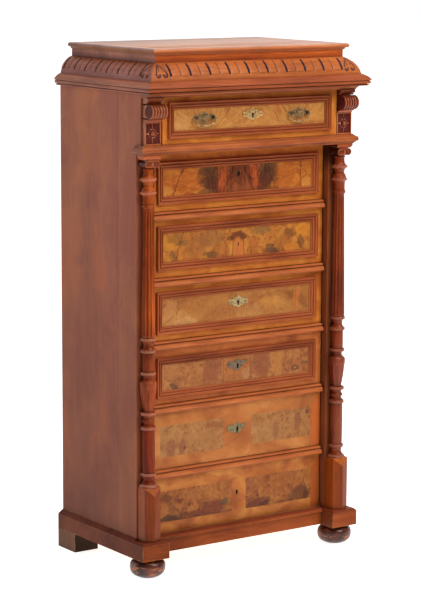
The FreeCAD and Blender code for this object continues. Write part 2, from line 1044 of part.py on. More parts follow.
def turning():
    """The column's lengths from the foot up, and the heights of its vase and shaft.

    A plain length has its height and its lower and upper radius. A ring has only
    its height and its greatest radius, and dies into the lengths beside it. Only
    the core is turned where the vase and the shaft are laid over it.
    """
    neck = (s.neck_height, s.neck_radius, s.neck_radius)
    ring = (s.ring_height, s.ring_radius)
    lower_drum = (s.lower_drum_height, s.lower_drum_radius, s.lower_drum_radius)
    middle_drum = (s.middle_drum_height, s.middle_drum_radius, s.middle_drum_radius)
    waist = (s.waist_height, s.waist_radius, s.waist_radius)
    vase = (s.vase_height, s.column_core_radius, s.column_core_radius)
    vase_neck = (s.vase_neck_height, s.waist_radius, s.waist_radius)
    upper_neck = (s.upper_neck_height, s.neck_radius, s.neck_radius)
    cavetto = (s.cavetto_height, s.cavetto_radius, s.cavetto_radius)
    head = (s.column_head_height, s.column_head_radius, s.column_head_radius)
    foot = [(s.base_torus_height, s.base_torus_radius), neck, ring, lower_drum, ring, waist, ring]
    middle = [vase_neck, ring, middle_drum, ring, neck, ring]
    top = [(s.collar_height, s.collar_radius), upper_neck, ring, cavetto]
    top += [(s.head_ring_height, s.ring_radius), head]
    vase_base = sum((element[0] for element in foot), as_size(0))
    shaft_base = sum((element[0] for element in middle), vase_base + s.vase_height)
    above = sum((element[0] for element in top), as_size(0))
    shaft_height = capital_bottom - pedestal_top - shaft_base - above
    shaft = (shaft_height, s.column_core_radius, s.column_core_radius)
    return foot + [vase] + middle + [shaft] + top, vase_base, (shaft_base, shaft_height)


def bow_front(radius, corners):
    """Corners round a column's front, each an angle from the front and a share of the radius."""
    points = []
    for angle, share in corners:
        across = math.sin(math.radians(angle)) * share
        forward = math.cos(math.radians(angle)) * share
        points.append((radius * across, radius * -forward))
    return points


def ruled(name, corners, levels):
    """A solid through the same corners at several levels, each a height and a radius."""
    body = body_named(name)
    sections = []
    for index, (height, radius) in enumerate(levels):
        sketch = sketch_on(body, f"section_{index}", "XY_Plane", height)
        outline(sketch, *bow_front(radius, corners))
        sections.append(sketch)
    loft(body, sections)
    return body


def vase(name, base):
    """An eight-sided vase: a slow swell up to the shoulder and a quick fall to the neck."""
    pitch = 360.0 / VASE_SIDES
    corners = [(pitch * (index - VASE_SIDES_SHOWN / 2), 1) for index in range(VASE_SIDES_SHOWN + 1)]
    swell = s.vase_radius - s.waist_radius
    levels = [(base + s.vase_height * up, s.waist_radius + swell * out) for up, out in VASE]
    return ruled(name, corners, levels)


def shaft(name, base, height):
    """A tapered shaft with flat-bottomed flutes between sharp arrises."""
    pitch = 360.0 / FLUTES
    hollow = 1 - s.flute_depth.value / s.shaft_foot_radius.value
    corners = []
    for index in range(FLUTES_SHOWN + 1):
        arris = pitch * (index - FLUTES_SHOWN / 2)
        corners.append((arris, 1))
        if index < FLUTES_SHOWN:
            corners.append((arris + pitch * (1 - FLUTE_FLAT) / 2, hollow))
            corners.append((arris + pitch * (1 + FLUTE_FLAT) / 2, hollow))
    return ruled(name, corners, [(base, s.shaft_foot_radius), (base + height, s.shaft_head_radius)])


def column(name, side):
    """A turned column with its vase and shaft, on a square core that backs it against the stile."""
    elements, vase_base, (shaft_base, shaft_height) = turning()
    body = body_named(f"{name}_turning")
    sketch = sketch_on(body, "section", "YZ_Plane")
    corners = [(0, 0), (-s.column_seat_radius, 0)]
    height = as_size(0)
    for element in elements:
        tall = element[0]
        if len(element) == 2:
            corners.append((-element[1], height + tall / 2))
        else:
            corners.append((-element[1], height))
            corners.append((-element[2], height + tall))
        height = height + tall
    corners.append((0, height))
    outline(sketch, *corners)
    revolve(body, sketch, "V_Axis", ROUND_OF_COLUMN)
    core_half = s.column_core_radius
    core = board(f"{name}_core", (-core_half, core_half), (0, s.column_stand_off), (0, height))
    laid = [vase(f"{name}_vase", vase_base), shaft(f"{name}_shaft", shaft_base, shaft_height)]
    item = fused(name, [body, core] + laid)
    place(item, side * column_x, column_y, pedestal_top)
    return item


def capital(name, side):
    """A small Ionic capital: two volutes with an egg between, under an abacus."""
    deep = s.upper_step
    half = s.abacus_width / 2
    scroll = s.capital_width / 2 - s.volute_radius
    scroll_z = s.volute_radius
    front_face = -deep
    foot = s.abacus_foot_setback
    fillet = s.capital_height + s.abacus_fillet_height
    pieces = []
    body = body_named(f"{name}_abacus")
    sketch = sketch_on(body, "section", "XZ_Plane")
    outline(
        sketch,
        (foot - half, s.capital_height),
        (half - foot, s.capital_height),
        Via(half - s.abacus_cove, s.capital_height + s.abacus_cove),
        (half, fillet),
        (half, s.capital_height + s.abacus_height),
        (-half, s.capital_height + s.abacus_height),
        (-half, fillet),
        Via(s.abacus_cove - half, s.capital_height + s.abacus_cove),
    )
    pad(body, sketch, deep)
    pieces.append(body)
    for tag, across in (("a", -1), ("b", 1)):
        pieces.append(
            rod(
                f"{name}_volute_{tag}",
                s.volute_radius,
                deep + s.volute_proud,
                across * scroll,
                0,
                scroll_z,
                TURN_FRONT,
            )
        )
    pieces.append(
        board(
            f"{name}_bell",
            (-scroll, scroll),
            (front_face + s.bell_setback, 0),
            (s.bell_foot, s.capital_height),
        )
    )
    egg_y = front_face + s.egg_setback
    pieces.append(stud(f"{name}_egg", s.egg_radius, 0, egg_y, s.capital_height - s.egg_drop))
    item = fused(name, pieces)
    place(item, side * column_x, stile_front, capital_bottom)
    return item


def corbel(name, side):
    """A bracket beside drawer one: sunk block with a boss, band, roll and cap."""
    half = s.corbel_width / 2
    thickness = s.upper_step - s.side_step
    rear = 0
    face = -thickness
    block_top = s.corbel_block_height
    band_top = block_top + s.corbel_band_height
    cap_bottom = s.opening_one - s.corbel_cap_height
    block = body_named(f"{name}_block")
    sketch = sketch_on(block, "plan", "XZ_Plane")
    rectangle(sketch, -half, half, 0, s.opening_one)
    pad(block, sketch, thickness)
    sinking = sketch_on(block, "sinking", "XZ_Plane", thickness)
    margin = s.corbel_sinking_margin
    rectangle(sinking, -half + margin, half - margin, margin, block_top - margin)
    pocket(block, sinking, s.corbel_sinking_depth)
    pieces = [block]
    pieces.append(
        board(
            f"{name}_band",
            (-half, half),
            (face - s.corbel_band_projection, rear),
            (block_top, band_top),
        )
    )
    cap = body_named(f"{name}_cap")
    sketch = sketch_on(cap, "section", "YZ_Plane")
    out = face - s.corbel_cap_projection
    outline(
        sketch,
        (rear, cap_bottom),
        (rear, s.opening_one),
        (out, s.opening_one),
        Via(out - s.corbel_cap_bulge, s.opening_one - s.corbel_cap_bulge_drop),
        (out + s.corbel_cap_foot_setback, cap_bottom),
    )
    pad(cap, sketch, 2 * half, "Symmetric")
    pieces.append(cap)
    roll = body_named(f"{name}_roll")
    sketch = sketch_on(roll, "section", "XY_Plane")
    rectangle(sketch, -half, half, -s.corbel_roll_radius, 0)
    revolve(roll, sketch, "H_Axis", ROUND_OF_ROLL)
    roll_y = face - s.corbel_roll_setback
    roll_z = (band_top + cap_bottom) / 2
    place(roll, 0, roll_y, roll_z)
    pieces.append(roll)
    web = s.corbel_web_half_height
    pieces.append(board(f"{name}_web", (-half, half), (roll_y, rear), (roll_z - web, roll_z + web)))
    middle = block_top / 2
    ground = face + s.corbel_sinking_depth
    pieces.append(stud(f"{name}_boss", s.corbel_boss_radius, 0, ground, middle))
    stem = s.corbel_stem_half_width
    raised = (ground - s.corbel_stem_height, ground)
    upright = (margin, block_top - margin)
    level = (margin - half, half - margin)
    pieces.append(board(f"{name}_stem", (-stem, stem), raised, upright))
    pieces.append(board(f"{name}_arm", level, raised, (middle - stem, middle + stem)))
    item = fused(name, pieces)
    place(item, side * (half_opening + s.corbel_gap + half), side_front, ledge_top)
    return item


# ---------------------------------------------------------------- drawers


def keyhole_cut(body, height):
    """A keyhole through a front: a slot that widens to a head."""
    sketch = sketch_on(body, "keyhole", "XZ_Plane")
    radius = s.keyhole_radius
    half_slot = s.keyhole_slot_width / 2
    foot = height - s.keyhole_length + radius
    outline(
        sketch,
        (-half_slot, foot),
        (half_slot, foot),
        (radius, height),
        (half_slot, height + radius),
        (-half_slot, height + radius),
        (-radius, height),
    )
    return pocket(body, sketch)


def keyhole_height(drawer):
    return openings[drawer][1] - getattr(s, f"keyhole_drop_{drawer}")


def drawer_front_board(number, drawer, face):
    low, high = openings[drawer]
    edge = half_opening - s.drawer_gap
    body = body_named(f"drawer_{number}_front")
    sketch = sketch_on(body, "face", "XZ_Plane")
    rectangle(sketch, -edge, edge, low + s.drawer_gap, high - s.drawer_gap)
    pad(body, sketch, s.front_thickness)
    keyhole_cut(body, keyhole_height(drawer))
    place(body, 0, face + s.front_thickness, 0)
    return body


def drawer_box(number, drawer, face):
    """Two sides, a back and a bottom, each its own board."""
    low, high = openings[drawer]
    floor = low + s.running_gap
    ceiling = high - s.drawer_head_room
    front = face + s.front_thickness
    rear = back_face - s.drawer_back_room
    outer = half_opening - s.drawer_gap
    inner = outer - s.drawer_side_thickness
    bottom = floor + s.drawer_bottom_lift
    bottom_top = bottom + s.drawer_bottom_thickness
    rear_inner = rear - s.drawer_side_thickness
    name = f"drawer_{number}_box"
    pieces = [
        board(f"{name}_{tag}", mirrored(side, inner, outer), (front, rear), (floor, ceiling))
        for tag, side in SIDES.items()
    ]
    upright = (bottom_top, ceiling - s.drawer_back_drop)
    pieces.append(board(f"{name}_back", (-inner, inner), (rear_inner, rear), upright))
    pieces.append(board(f"{name}_bottom", (-inner, inner), (front, rear), (bottom, bottom_top)))
    return group(name, pieces)


def panel_moulding(number, drawer, face):
    """A mitred frame of four lengths laid on a drawer front."""
    width = s.panel_moulding_width
    height = s.panel_moulding_height
    half_outer = getattr(s, f"panel_height_{drawer}") / 2
    middle = openings[drawer][0] + getattr(s, f"panel_lift_{drawer}") + half_outer
    half_wide = half_opening - s.panel_side_margin - width
    half_tall = half_outer - width
    profile = [(width * across, height * up) for across, up in PANEL_PROFILE]
    pieces = []
    for turn, (reach, offset) in enumerate(
        (
            (half_wide, (0, half_tall)),
            (half_tall, (-half_wide, 0)),
            (half_wide, (0, -half_tall)),
            (half_tall, (half_wide, 0)),
        )
    ):
        piece = stick(f"drawer_{number}_moulding_{turn}", profile, 2 * reach, (-1, 1))
        rotation = FreeCAD.Rotation(Vector(0, 1, 0), -90 * turn)
        place(piece, offset[0], face, middle + offset[1], rotation.multiply(TURN_FRONT))
        pieces.append(piece)
    return group(f"drawer_{number}_moulding", pieces)


def lock(number, drawer, face):
    """An iron lock case on the back of the front, with its selvedge along the top."""
    height = keyhole_height(drawer)
    inside = face + s.front_thickness
    half = s.lock_width / 2
    top = height + s.lock_above_key
    case = board(
        f"drawer_{number}_lock_case",
        (-half, half),
        (inside, inside + s.lock_thickness),
        (top - s.lock_height, top),
    )
    radius = s.keyhole_radius
    slot = board(
        f"drawer_{number}_lock_slot",
        (-radius, radius),
        (inside - s.lock_slot_depth, inside + s.lock_slot_depth),
        (height - s.keyhole_length + radius, height + radius),
    )
    return cut(f"drawer_{number}_lock", case, slot)


def leaf(body, shares, width, height, middle):
    """Pads a thin plate, the same left and right, from the shares of its right half."""
    sketch = sketch_on(body, "outline", "XZ_Plane")
    right = [(width / 2 * across, middle + height / 2 * up) for across, up in shares]
    left = [(-across, up) for across, up in reversed(right) if across.value > SAME_POINT]
    outline(sketch, *right, *left)
    pad(body, sketch, s.brass_thickness)


def escutcheon(number, drawer, face):
    """A brass plate round the keyhole, drawn as a lobed leaf."""
    body = body_named(f"drawer_{number}_escutcheon")
    height = keyhole_height(drawer)
    leaf(body, ESCUTCHEON_LEAF, s.escutcheon_width, s.escutcheon_height, height)
    keyhole_cut(body, height)
    place(body, 0, face, 0)
    return body


# ---------------------------------------------------------------- bail handles


post_x = s.bail_width / 2 - s.bail_rod_radius - s.bail_knuckle_gap - s.handle_post_half_width
handle_x = half_opening * HANDLE_SHARE


def handle_height():
    return keyhole_height("one") - s.handle_drop


def handle_plate(name, side):
    """A lobed backplate with two posts that hold the bail's pins."""
    body = body_named(f"{name}_leaf")
    leaf(body, HANDLE_LEAF, s.handle_plate_width, s.handle_plate_height, 0)
    pieces = [body]
    post = s.handle_post_half_width
    post_length = s.bail_stand_off + s.bail_pin_radius + s.handle_post_end
    for tag, end in (("a", -1), ("b", 1)):
        across = (end * post_x - post, end * post_x + post)
        pieces.append(board(f"{name}_post_{tag}", across, (-post_length, 0), (-post, post)))
    blank = fused(f"{name}_blank", pieces)
    bores = []
    for tag, end in (("a", -1), ("b", 1)):
        start = post_x if end > 0 else -post_x - 2 * post
        bores.append(
            rod(
                f"{name}_bore_{tag}",
                s.bail_pin_radius + s.bail_pin_clearance,
                2 * post,
                start,
                -s.bail_stand_off,
                0,
                TURN_X,
            )
        )
    item = cut(name, blank, group(f"{name}_bores", bores))
    place(item, side * handle_x, top_drawer_front, handle_height())
    return item


def bow(name, radius, span, drop):
    """A squared rod bent in short straight lengths, from one knuckle to the other."""
    body = body_named(f"{name}_bow")
    sketch = sketch_on(body, "outline", "XZ_Plane")
    rod_radius = s.bail_rod_radius
    corners = []
    for edge in (1, -1):
        reach = radius + rod_radius * edge
        for index in range(BOW_SIDES + 1):
            angle = math.radians(edge * span * (1 - 2 * index / BOW_SIDES))
            corners.append((reach * math.sin(angle), reach * -math.cos(angle)))
    outline(sketch, *corners)
    pad(body, sketch, 2 * rod_radius, "Symmetric")
    place(body, 0, 0, radius - drop)
    return body


def bail(name, side):
    """A drop bail: a bow, a knuckle at each end and pins that turn in the posts."""
    half = s.bail_width / 2
    rod_radius = s.bail_rod_radius
    drop = s.bail_drop
    bow_radius = (half * half + drop * drop) / (2 * drop)
    span = math.degrees(math.asin(half.value / bow_radius.value))
    pieces = [bow(name, bow_radius, span, drop)]
    for tag, end in (("a", -1), ("b", 1)):
        pieces.append(
            board(
                f"{name}_knuckle_{tag}",
                (end * half - rod_radius, end * half + rod_radius),
                (-rod_radius, rod_radius),
                (-rod_radius, rod_radius),
            )
        )
        pin_start = post_x + s.bail_pin_inset
        pin_length = half - pin_start
        start = pin_start if end > 0 else -half
        pieces.append(rod(f"{name}_pin_{tag}", s.bail_pin_radius, pin_length, start, 0, 0, TURN_X))
    item = fused(name, pieces)
    place(
        item,
        side * handle_x,
        top_drawer_front - s.bail_stand_off,
        handle_height(),
    )
    return item


# ---------------------------------------------------------------- assembly


def pair(name, make):
    """A left and a right piece kept together as one named sub-part."""
    return group(name, [make(f"{name}_{end}", side) for end, side in SIDES.items()])


def build_case():
    parts = [
        back_panel(),
        bottom_board(),
        top_panel(),
        drawer_rails(),
        drawer_runners(),
        cornice_moulding(),
        gadroon_moulding(),
        frieze(),
        top_board(),
        bed_moulding(),
        ledge_moulding(),
        plinth_frame(),
        front_stiles(),
        bun_feet(),
        rear_feet(),
    ]
    for name, side in SIDES.items():
        parts.append(side_panel(f"side_panel_{name}", side))
        parts.append(pedestal(f"pedestal_{name}", side))
        parts.append(column(f"column_{name}", side))
    parts.append(pair("capitals", capital))
    parts.append(pair("corbels", corbel))
    return parts


def build_drawers():
    parts = []
    for number, drawer in enumerate(DRAWER_NAMES, start=1):
        face = top_drawer_front if number == 1 else drawer_front
        parts.append(drawer_front_board(number, drawer, face))
        parts.append(drawer_box(number, drawer, face))
        parts.append(lock(number, drawer, face))
        if number <= 5:
            parts.append(panel_moulding(number, drawer, face))
        if number in (1, 4, 5, 6):
            parts.append(escutcheon(number, drawer, face))
    for name, side in SIDES.items():
        parts.append(handle_plate(f"handle_plate_{name}", side))
        parts.append(bail(f"bail_{name}", side))
    return parts


def check(parts):
    """Stops the build if any object failed or any sub-part is not a sound solid."""
    for item in doc.Objects:
        if "Invalid" in item.State or "Error" in item.State:
            raise RuntimeError(f"{item.Label} failed: {item.State}")
    for part in parts:
        shape = part.Shape
        if shape.isNull() or not shape.isValid() or not shape.Solids:
            raise RuntimeError(f"{part.Label} is not a sound solid")


parts = build_case() + build_drawers()
doc.recompute()
check(parts)
os.makedirs("parts", exist_ok=True)
for part in parts:
    part.Shape.exportStep(f"parts/{part.Label}.step")
    print(f"{part.Label}: {len(part.Shape.Solids)} solids, {part.Shape.Volume:.0f} mm3")
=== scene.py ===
"""Looks of the semainier: cabinet woods, veneers, turnings, carving and brassware.

Metres, +Z up, the front towards -Y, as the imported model.  Sizes that belong to the
case are read from its nodes; the others are named beside the piece that has them.
"""

import math

import bmesh
import bpy
from mathutils import Matrix, Vector


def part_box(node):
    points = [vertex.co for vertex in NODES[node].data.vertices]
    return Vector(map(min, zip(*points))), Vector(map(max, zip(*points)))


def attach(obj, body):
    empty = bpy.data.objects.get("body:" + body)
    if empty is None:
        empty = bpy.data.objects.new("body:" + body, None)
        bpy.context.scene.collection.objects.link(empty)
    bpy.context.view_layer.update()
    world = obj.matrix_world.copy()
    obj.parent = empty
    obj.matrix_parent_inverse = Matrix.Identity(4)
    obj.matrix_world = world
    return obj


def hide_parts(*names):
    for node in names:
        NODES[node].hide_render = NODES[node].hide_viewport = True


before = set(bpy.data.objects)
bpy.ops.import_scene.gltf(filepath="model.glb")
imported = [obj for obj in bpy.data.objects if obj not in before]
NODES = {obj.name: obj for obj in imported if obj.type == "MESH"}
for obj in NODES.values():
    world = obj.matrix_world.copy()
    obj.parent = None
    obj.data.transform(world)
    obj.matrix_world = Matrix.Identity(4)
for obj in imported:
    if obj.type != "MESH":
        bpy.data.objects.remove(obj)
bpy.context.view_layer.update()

TAU = 2 * math.pi
MM = 0.001
SIDES = {"left": -1, "right": 1}
SCENE = bpy.context.scene


# ---------------------------------------------------------------- node graphs


class Shade:
    """One material's node tree, built from short calls that return sockets."""

    def __init__(self, name):
        self.material = bpy.data.materials.new(name)
        self.material.use_nodes = True
        self.tree = self.material.node_tree
        self.tree.nodes.clear()
        self.bsdf = self.add("BsdfPrincipled")
        output = self.add("OutputMaterial")
        self.tree.links.new(self.bsdf.outputs[0], output.inputs["Surface"])
        spots = self.add("TexCoord").outputs
        self.place = spots["Object"]
        self.facing = spots["Normal"]

    def feed(self, socket, value):
        """Links a socket, or sets it: one number fills a vector, and a colour gets its alpha."""
        if isinstance(value, bpy.types.NodeSocket):
            self.tree.links.new(value, socket)
            return
        many = hasattr(socket.default_value, "__len__")
        if many and not hasattr(value, "__len__"):
            value = [value] * len(socket.default_value)
        elif many and len(value) < len(socket.default_value):
            value = (*value, 1.0)
        socket.default_value = value

    def add(self, kind, values=(), named=None, **settings):
        """A node with its settings, its first sockets fed with values and others by name."""
        node = self.tree.nodes.new("ShaderNode" + kind)
        for setting, value in settings.items():
            setattr(node, setting, value)
        for socket, value in zip(node.inputs, values):
            self.feed(socket, value)
        for name, value in (named or {}).items():
            self.feed(node.inputs[name], value)
        return node

    def math(self, operation, *values):
        return self.add("Math", values, operation=operation).outputs[0]

    def plus(self, a, b):
        return self.math("ADD", a, b)

    def minus(self, a, b):
        return self.math("SUBTRACT", a, b)

    def times(self, a, b):
        return self.math("MULTIPLY", a, b)

    def over(self, a, b):
        return self.math("DIVIDE", a, b)

    def rest(self, share):
        """What a share leaves of one."""
        return self.math("SUBTRACT", 1.0, share)

    def apart(self, a, b):
        return self.math("ABSOLUTE", self.minus(a, b))

    def blend(self, a, b, weight):
        """A sum in which a has its own weight and b the rest."""
        return self.plus(self.times(a, weight), self.times(b, round(1 - weight, 3)))

    def swing(self, share, amount):
        """A 0 to 1 noise, centred on 0 and spread to an amount."""
        return self.times(self.minus(share, 0.5), amount)

    def vector(self, operation, *values, output=0):
        return self.add("VectorMath", values, operation=operation).outputs[output]

    def join(self, x, y, z):
        return self.add("CombineXYZ", (x, y, z)).outputs[0]

    def split(self, vector):
        return tuple(self.add("SeparateXYZ", (vector,)).outputs)

    def noise(self, place, scale, detail=4.0, rough=0.55, distort=0.0, stretch=None, colour=False):
        if stretch:
            place = self.vector("MULTIPLY", place, stretch)
        named = {"Vector": place, "Scale": scale, "Detail": detail, "Roughness": rough, "Distortion": distort}
        return self.add("TexNoise", named=named).outputs["Color" if colour else "Fac"]

    def cells(self, place, scale):
        return self.add("TexVoronoi", named={"Vector": place, "Scale": scale}).outputs["Distance"]

    def warp(self, place, scale, amount, detail=3.0):
        """The place, pushed about by a noise."""
        push = self.vector("SUBTRACT", self.noise(place, scale, detail, colour=True), (0.5, 0.5, 0.5))
        return self.vector("ADD", place, self.vector("MULTIPLY", push, (amount, amount, amount)))

    def ramp(self, factor, *stops):
        """A colour or grey for each factor; a stop is (factor, colour or grey)."""
        node = self.add("ValToRGB", (factor,))
        elements = node.color_ramp.elements
        while len(elements) < len(stops):
            elements.new(0.5)
        for element, (position, colour) in zip(elements, stops):
            element.position = position
            element.color = (*(colour if hasattr(colour, "__len__") else [colour] * 3), 1.0)
        return node.outputs[0]

    def step(self, value, low, high):
        """0 below low, 1 above high and a smooth rise between."""
        named = {"Value": value, "From Min": low, "From Max": high}
        return self.add("MapRange", named=named, interpolation_type="SMOOTHSTEP").outputs["Result"]

    def mix(self, factor, a, b, blend="MIX"):
        node = self.add("Mix", (factor,), data_type="RGBA", blend_type=blend)
        self.feed(node.inputs[6], a)
        self.feed(node.inputs[7], b)
        return node.outputs[2]

    def dyed(self, colour, tint):
        return self.mix(1.0, colour, tint, "MULTIPLY")

    def tinted(self, factor, colour, tint):
        """The colour, multiplied by a tint where the factor is 1."""
        return self.mix(factor, colour, self.dyed(colour, tint))

    def bump(self, height, distance, strength):
        """Relief from a height."""
        node = self.add("Bump", named={"Height": height, "Distance": distance, "Strength": strength})
        self.tree.links.new(node.outputs[0], self.bsdf.inputs["Normal"])

    def towards(self, axis, sign, low, high):
        """1 on faces that look along an axis, x 0, y 1 or z 2."""
        return self.step(self.times(self.split(self.facing)[axis], sign), low, high)

    def arris(self, radius):
        """1 along the corners of a piece, fading out over a radius."""
        bevel = self.add("Bevel", named={"Radius": radius}, samples=6).outputs[0]
        flat = self.add("NewGeometry").outputs["Normal"]
        return self.rest(self.step(self.vector("DOT_PRODUCT", bevel, flat, output="Value"), 0.8, 0.995))

    def crevice(self, distance):
        """1 in the open, falling to 0 deep in a corner."""
        return self.add("AmbientOcclusion", named={"Distance": distance}, samples=8).outputs["AO"]

    def with_corner_dirt_and_shade(self, colour, reach, amount, dirt_and_shade_tint):
        """The colour, darkened where a corner is closer than a reach: soiling and painted shade in the
        corners.
        """
        return self.mix(self.times(self.rest(self.crevice(reach)), amount), colour, dirt_and_shade_tint)

    def set(self, **values):
        for name, value in values.items():
            self.feed(self.bsdf.inputs[name.replace("_", " ")], value)


def srgb(red, green, blue):
    """A colour written as it shows on screen, 0 to 255, turned into linear light."""
    def linear(value):
        value /= 255
        return value / 12.92 if value <= 0.04045 else ((value + 0.055) / 1.055) ** 2.4
    return linear(red), linear(green), linear(blue)


def three(pale, middle, dark):
    return srgb(*pale), srgb(*middle), srgb(*dark)


# ---------------------------------------------------------------- materials

GRAIN = {"x": (0.05, 1, 1), "z": (1, 1, 0.05), "u": (0.05, 1, 1)}
HEIGHT = 1.5
EDGE = 0.004
CORNER_DIRT_AND_SHADE = (0.05, 0.02, 0.012)
PORE = (0.25, 0.2, 0.17)


def up_the_piece(s, colour, heights):
    """The colour, multiplied by the tint of its height; heights holds (height, tint)."""
    up = s.split(s.place)[2]
    return s.dyed(colour, s.ramp(s.over(up, HEIGHT), *[(height / HEIGHT, tint) for height, tint in heights]))


def wood(name, pale, middle, dark, axis, fine=170.0, gloss=0.42, coat=0.05, dirt_and_shade_amount=0.5, drift=0.5, contrast=1.0,
         reach=0.015, shine=0.13, painted_light_and_wear_at_mark=None, left=None, heights=None, faces=(), wear=None, painted_shade_beyond=None,
         recess_shade=None):
    """Sawn or turned wood: drifting colour, streaks along the grain, pores, and soiling with painted shade in
    the corners.

    axis is the grain's, or "u" along the mesh's own grain layer.  left tints the side that faces left,
    and faces others: (axis, sign, low, high, tint); on most pieces these tints are painted light and shade
    with a cool painted sheen.  heights tints by height, wear (radius, tint) rubs the corners,
    painted_shade_beyond (x, tint) paints shade on what lies further left, recess_shade paints shade on the
    inward faces of pieces on the right, and painted_light_and_wear_at_mark colours what the mesh marks:
    painted shade in carved cuts and hollows, and pale wear with a painted highlight on the column rings.
    """
    s = Shade(name)
    place = s.add("UVMap").outputs[0] if axis == "u" else s.place
    bent = s.warp(place, 3.0, 0.05)
    streaks = s.noise(bent, 9.0, 5, 0.6, 0.4, GRAIN[axis])
    lines = s.noise(bent, fine, 3, 0.6, 0.0, GRAIN[axis])
    tone = s.plus(s.blend(streaks, lines, 0.62), s.swing(s.noise(place, 5.0, 2), drift))
    spread = 0.18 / contrast
    colour = s.ramp(tone, (0.5 - spread, dark), (0.5, middle), (0.5 + spread, pale))
    if heights:
        colour = up_the_piece(s, colour, heights)
    # Painted light and shade, with a cool painted sheen, on the side that faces left and on other chosen
    # sides.
    if left:
        colour = s.tinted(s.towards(0, -1.0, 0.3, 0.85), colour, left)
    for direction, sign, start, end, tint in faces:
        colour = s.tinted(s.towards(direction, sign, start, end), colour, tint)
    # Painted shade on the faces of pieces on the right that look inward.
    if recess_shade:
        inward = s.times(s.towards(0, -1, 0.3, 0.8), s.step(s.split(s.place)[0], 0.1, 0.2))
        colour = s.tinted(inward, colour, recess_shade)
    # Painted shade on what lies further left than a given x.
    if painted_shade_beyond:
        limit, tint = painted_shade_beyond
        far = s.step(s.times(s.split(s.place)[0], -1.0), limit - EDGE, limit + EDGE)
        colour = s.tinted(far, colour, tint)
    if wear:
        radius, tint = wear
        rubbed = s.times(s.arris(radius), s.step(s.noise(s.place, 46.0, 4, 0.7), 0.42, 0.6))
        colour = s.mix(s.times(rubbed, 0.75), colour, tint)
    pore = s.step(s.noise(place, 700.0, 1, stretch=GRAIN[axis]), 0.58, 0.72)
    colour = s.mix(s.times(pore, 0.25), colour, PORE, "MULTIPLY")
    # Soiling and painted shade, darkest where a corner is near.
    colour = s.with_corner_dirt_and_shade(colour, reach, dirt_and_shade_amount, CORNER_DIRT_AND_SHADE)
    # Painted where the mesh marks: painted shade in cuts and hollows, and pale wear with a painted highlight
    # on rings.
    if painted_light_and_wear_at_mark:
        mark = s.add("Attribute", attribute_name="mark").outputs["Fac"]
        colour = s.mix(mark, colour, painted_light_and_wear_at_mark)
        if coat > 0.3:
            coat = s.times(s.rest(mark), coat)
            gloss = s.plus(gloss, s.times(mark, 0.4))
    s.set(Base_Color=colour, Roughness=s.plus(gloss, s.swing(lines, 0.25)), Specular_IOR_Level=shine,
          Coat_Weight=coat, Coat_Roughness=0.12)
    s.bump(s.minus(lines, s.times(pore, 0.6)), 0.0004, 0.35)
    return s.material


SIDE_JOINTS = ((-0.060, (0.90, 0.86, 0.92)), (0.092, (0.94, 0.96, 0.9)))


def side_material(name, pale, middle, dark, heights):
    """Three upright boards with open joints, worn, dusty and stained, and painted light: darker towards the
    foot, lighter at the top.
    """
    s = Shade(name)
    y = s.split(s.place)[1]
    bent = s.warp(s.place, 3.0, 0.05)
    streaks = s.noise(bent, 8.0, 5, 0.6, 0.4, GRAIN["z"])
    lines = s.noise(bent, 190.0, 3, stretch=GRAIN["z"])
    colour = s.ramp(s.blend(streaks, lines, 0.6), (0.3, dark), (0.5, middle), (0.7, pale))
    # Painted light by height: darker towards the foot, lighter towards the top.
    colour = up_the_piece(s, colour, heights)
    for joint, tint in SIDE_JOINTS:
        colour = s.tinted(s.step(y, joint - 0.001, joint + 0.001), colour, tint)
        near = s.apart(y, s.plus(joint, s.times(lines, 0.001)))
        gap = s.times(s.rest(s.step(near, 0.0006, 0.0022)), s.step(streaks, 0.3, 0.55))
        colour = s.mix(s.times(gap, 0.55), colour, (0.09, 0.04, 0.03))
    cloud = s.noise(s.warp(s.place, 6.0, 0.15), 5.0, 4, 0.6, stretch=(1, 1, 0.45))
    colour = s.tinted(s.step(cloud, 0.48, 0.62), colour, (0.85, 0.77, 0.92))
    colour = s.tinted(s.step(cloud, 0.5, 0.38), colour, (1.2, 1.14, 0.88))
    dents = s.step(s.cells(s.vector("MULTIPLY", s.warp(s.place, 20.0, 0.02), (1, 1, 0.6)), 26.0), 0.06, 0.03)
    colour = s.mix(s.times(dents, 0.5), colour, (0.08, 0.045, 0.04))
    # Soiling and painted shade in the corners.
    colour = s.with_corner_dirt_and_shade(colour, 0.02, 0.4, CORNER_DIRT_AND_SHADE)
    s.set(Base_Color=colour, Roughness=s.plus(0.5, s.times(cloud, 0.2)), Specular_IOR_Level=0.25)
    s.bump(s.minus(s.plus(lines, cloud), dents), 0.0005, 0.4)
    return s.material


def foot_material(name):
    """A dark turned foot, scuffed to the bare wood in bands."""
    s = Shade(name)
    grain = s.noise(s.place, 30.0, 5, 0.6, 0.5, (1, 1, 0.6))
    colour = s.ramp(grain, (0.34, srgb(46, 18, 13)), (0.5, srgb(78, 34, 23)), (0.66, srgb(112, 53, 33)))
    scuff = s.noise(s.warp(s.place, 30.0, 0.01), 44.0, 5, 0.7, stretch=(0.7, 0.7, 3.0))
    scuff = s.times(s.step(scuff, 0.53, 0.63), 0.8)
    # Scuffs, then soiling and painted shade in the corners.
    colour = s.with_corner_dirt_and_shade(s.mix(scuff, colour, srgb(176, 104, 50)), 0.02, 0.8, (0.02, 0.008, 0.006))
    s.set(Base_Color=colour, Roughness=s.plus(0.34, s.times(scuff, 0.3)), Specular_IOR_Level=0.3,
          Coat_Weight=0.15, Coat_Roughness=0.2)
    s.bump(s.minus(grain, scuff), 0.0006, 0.5)
    return s.material


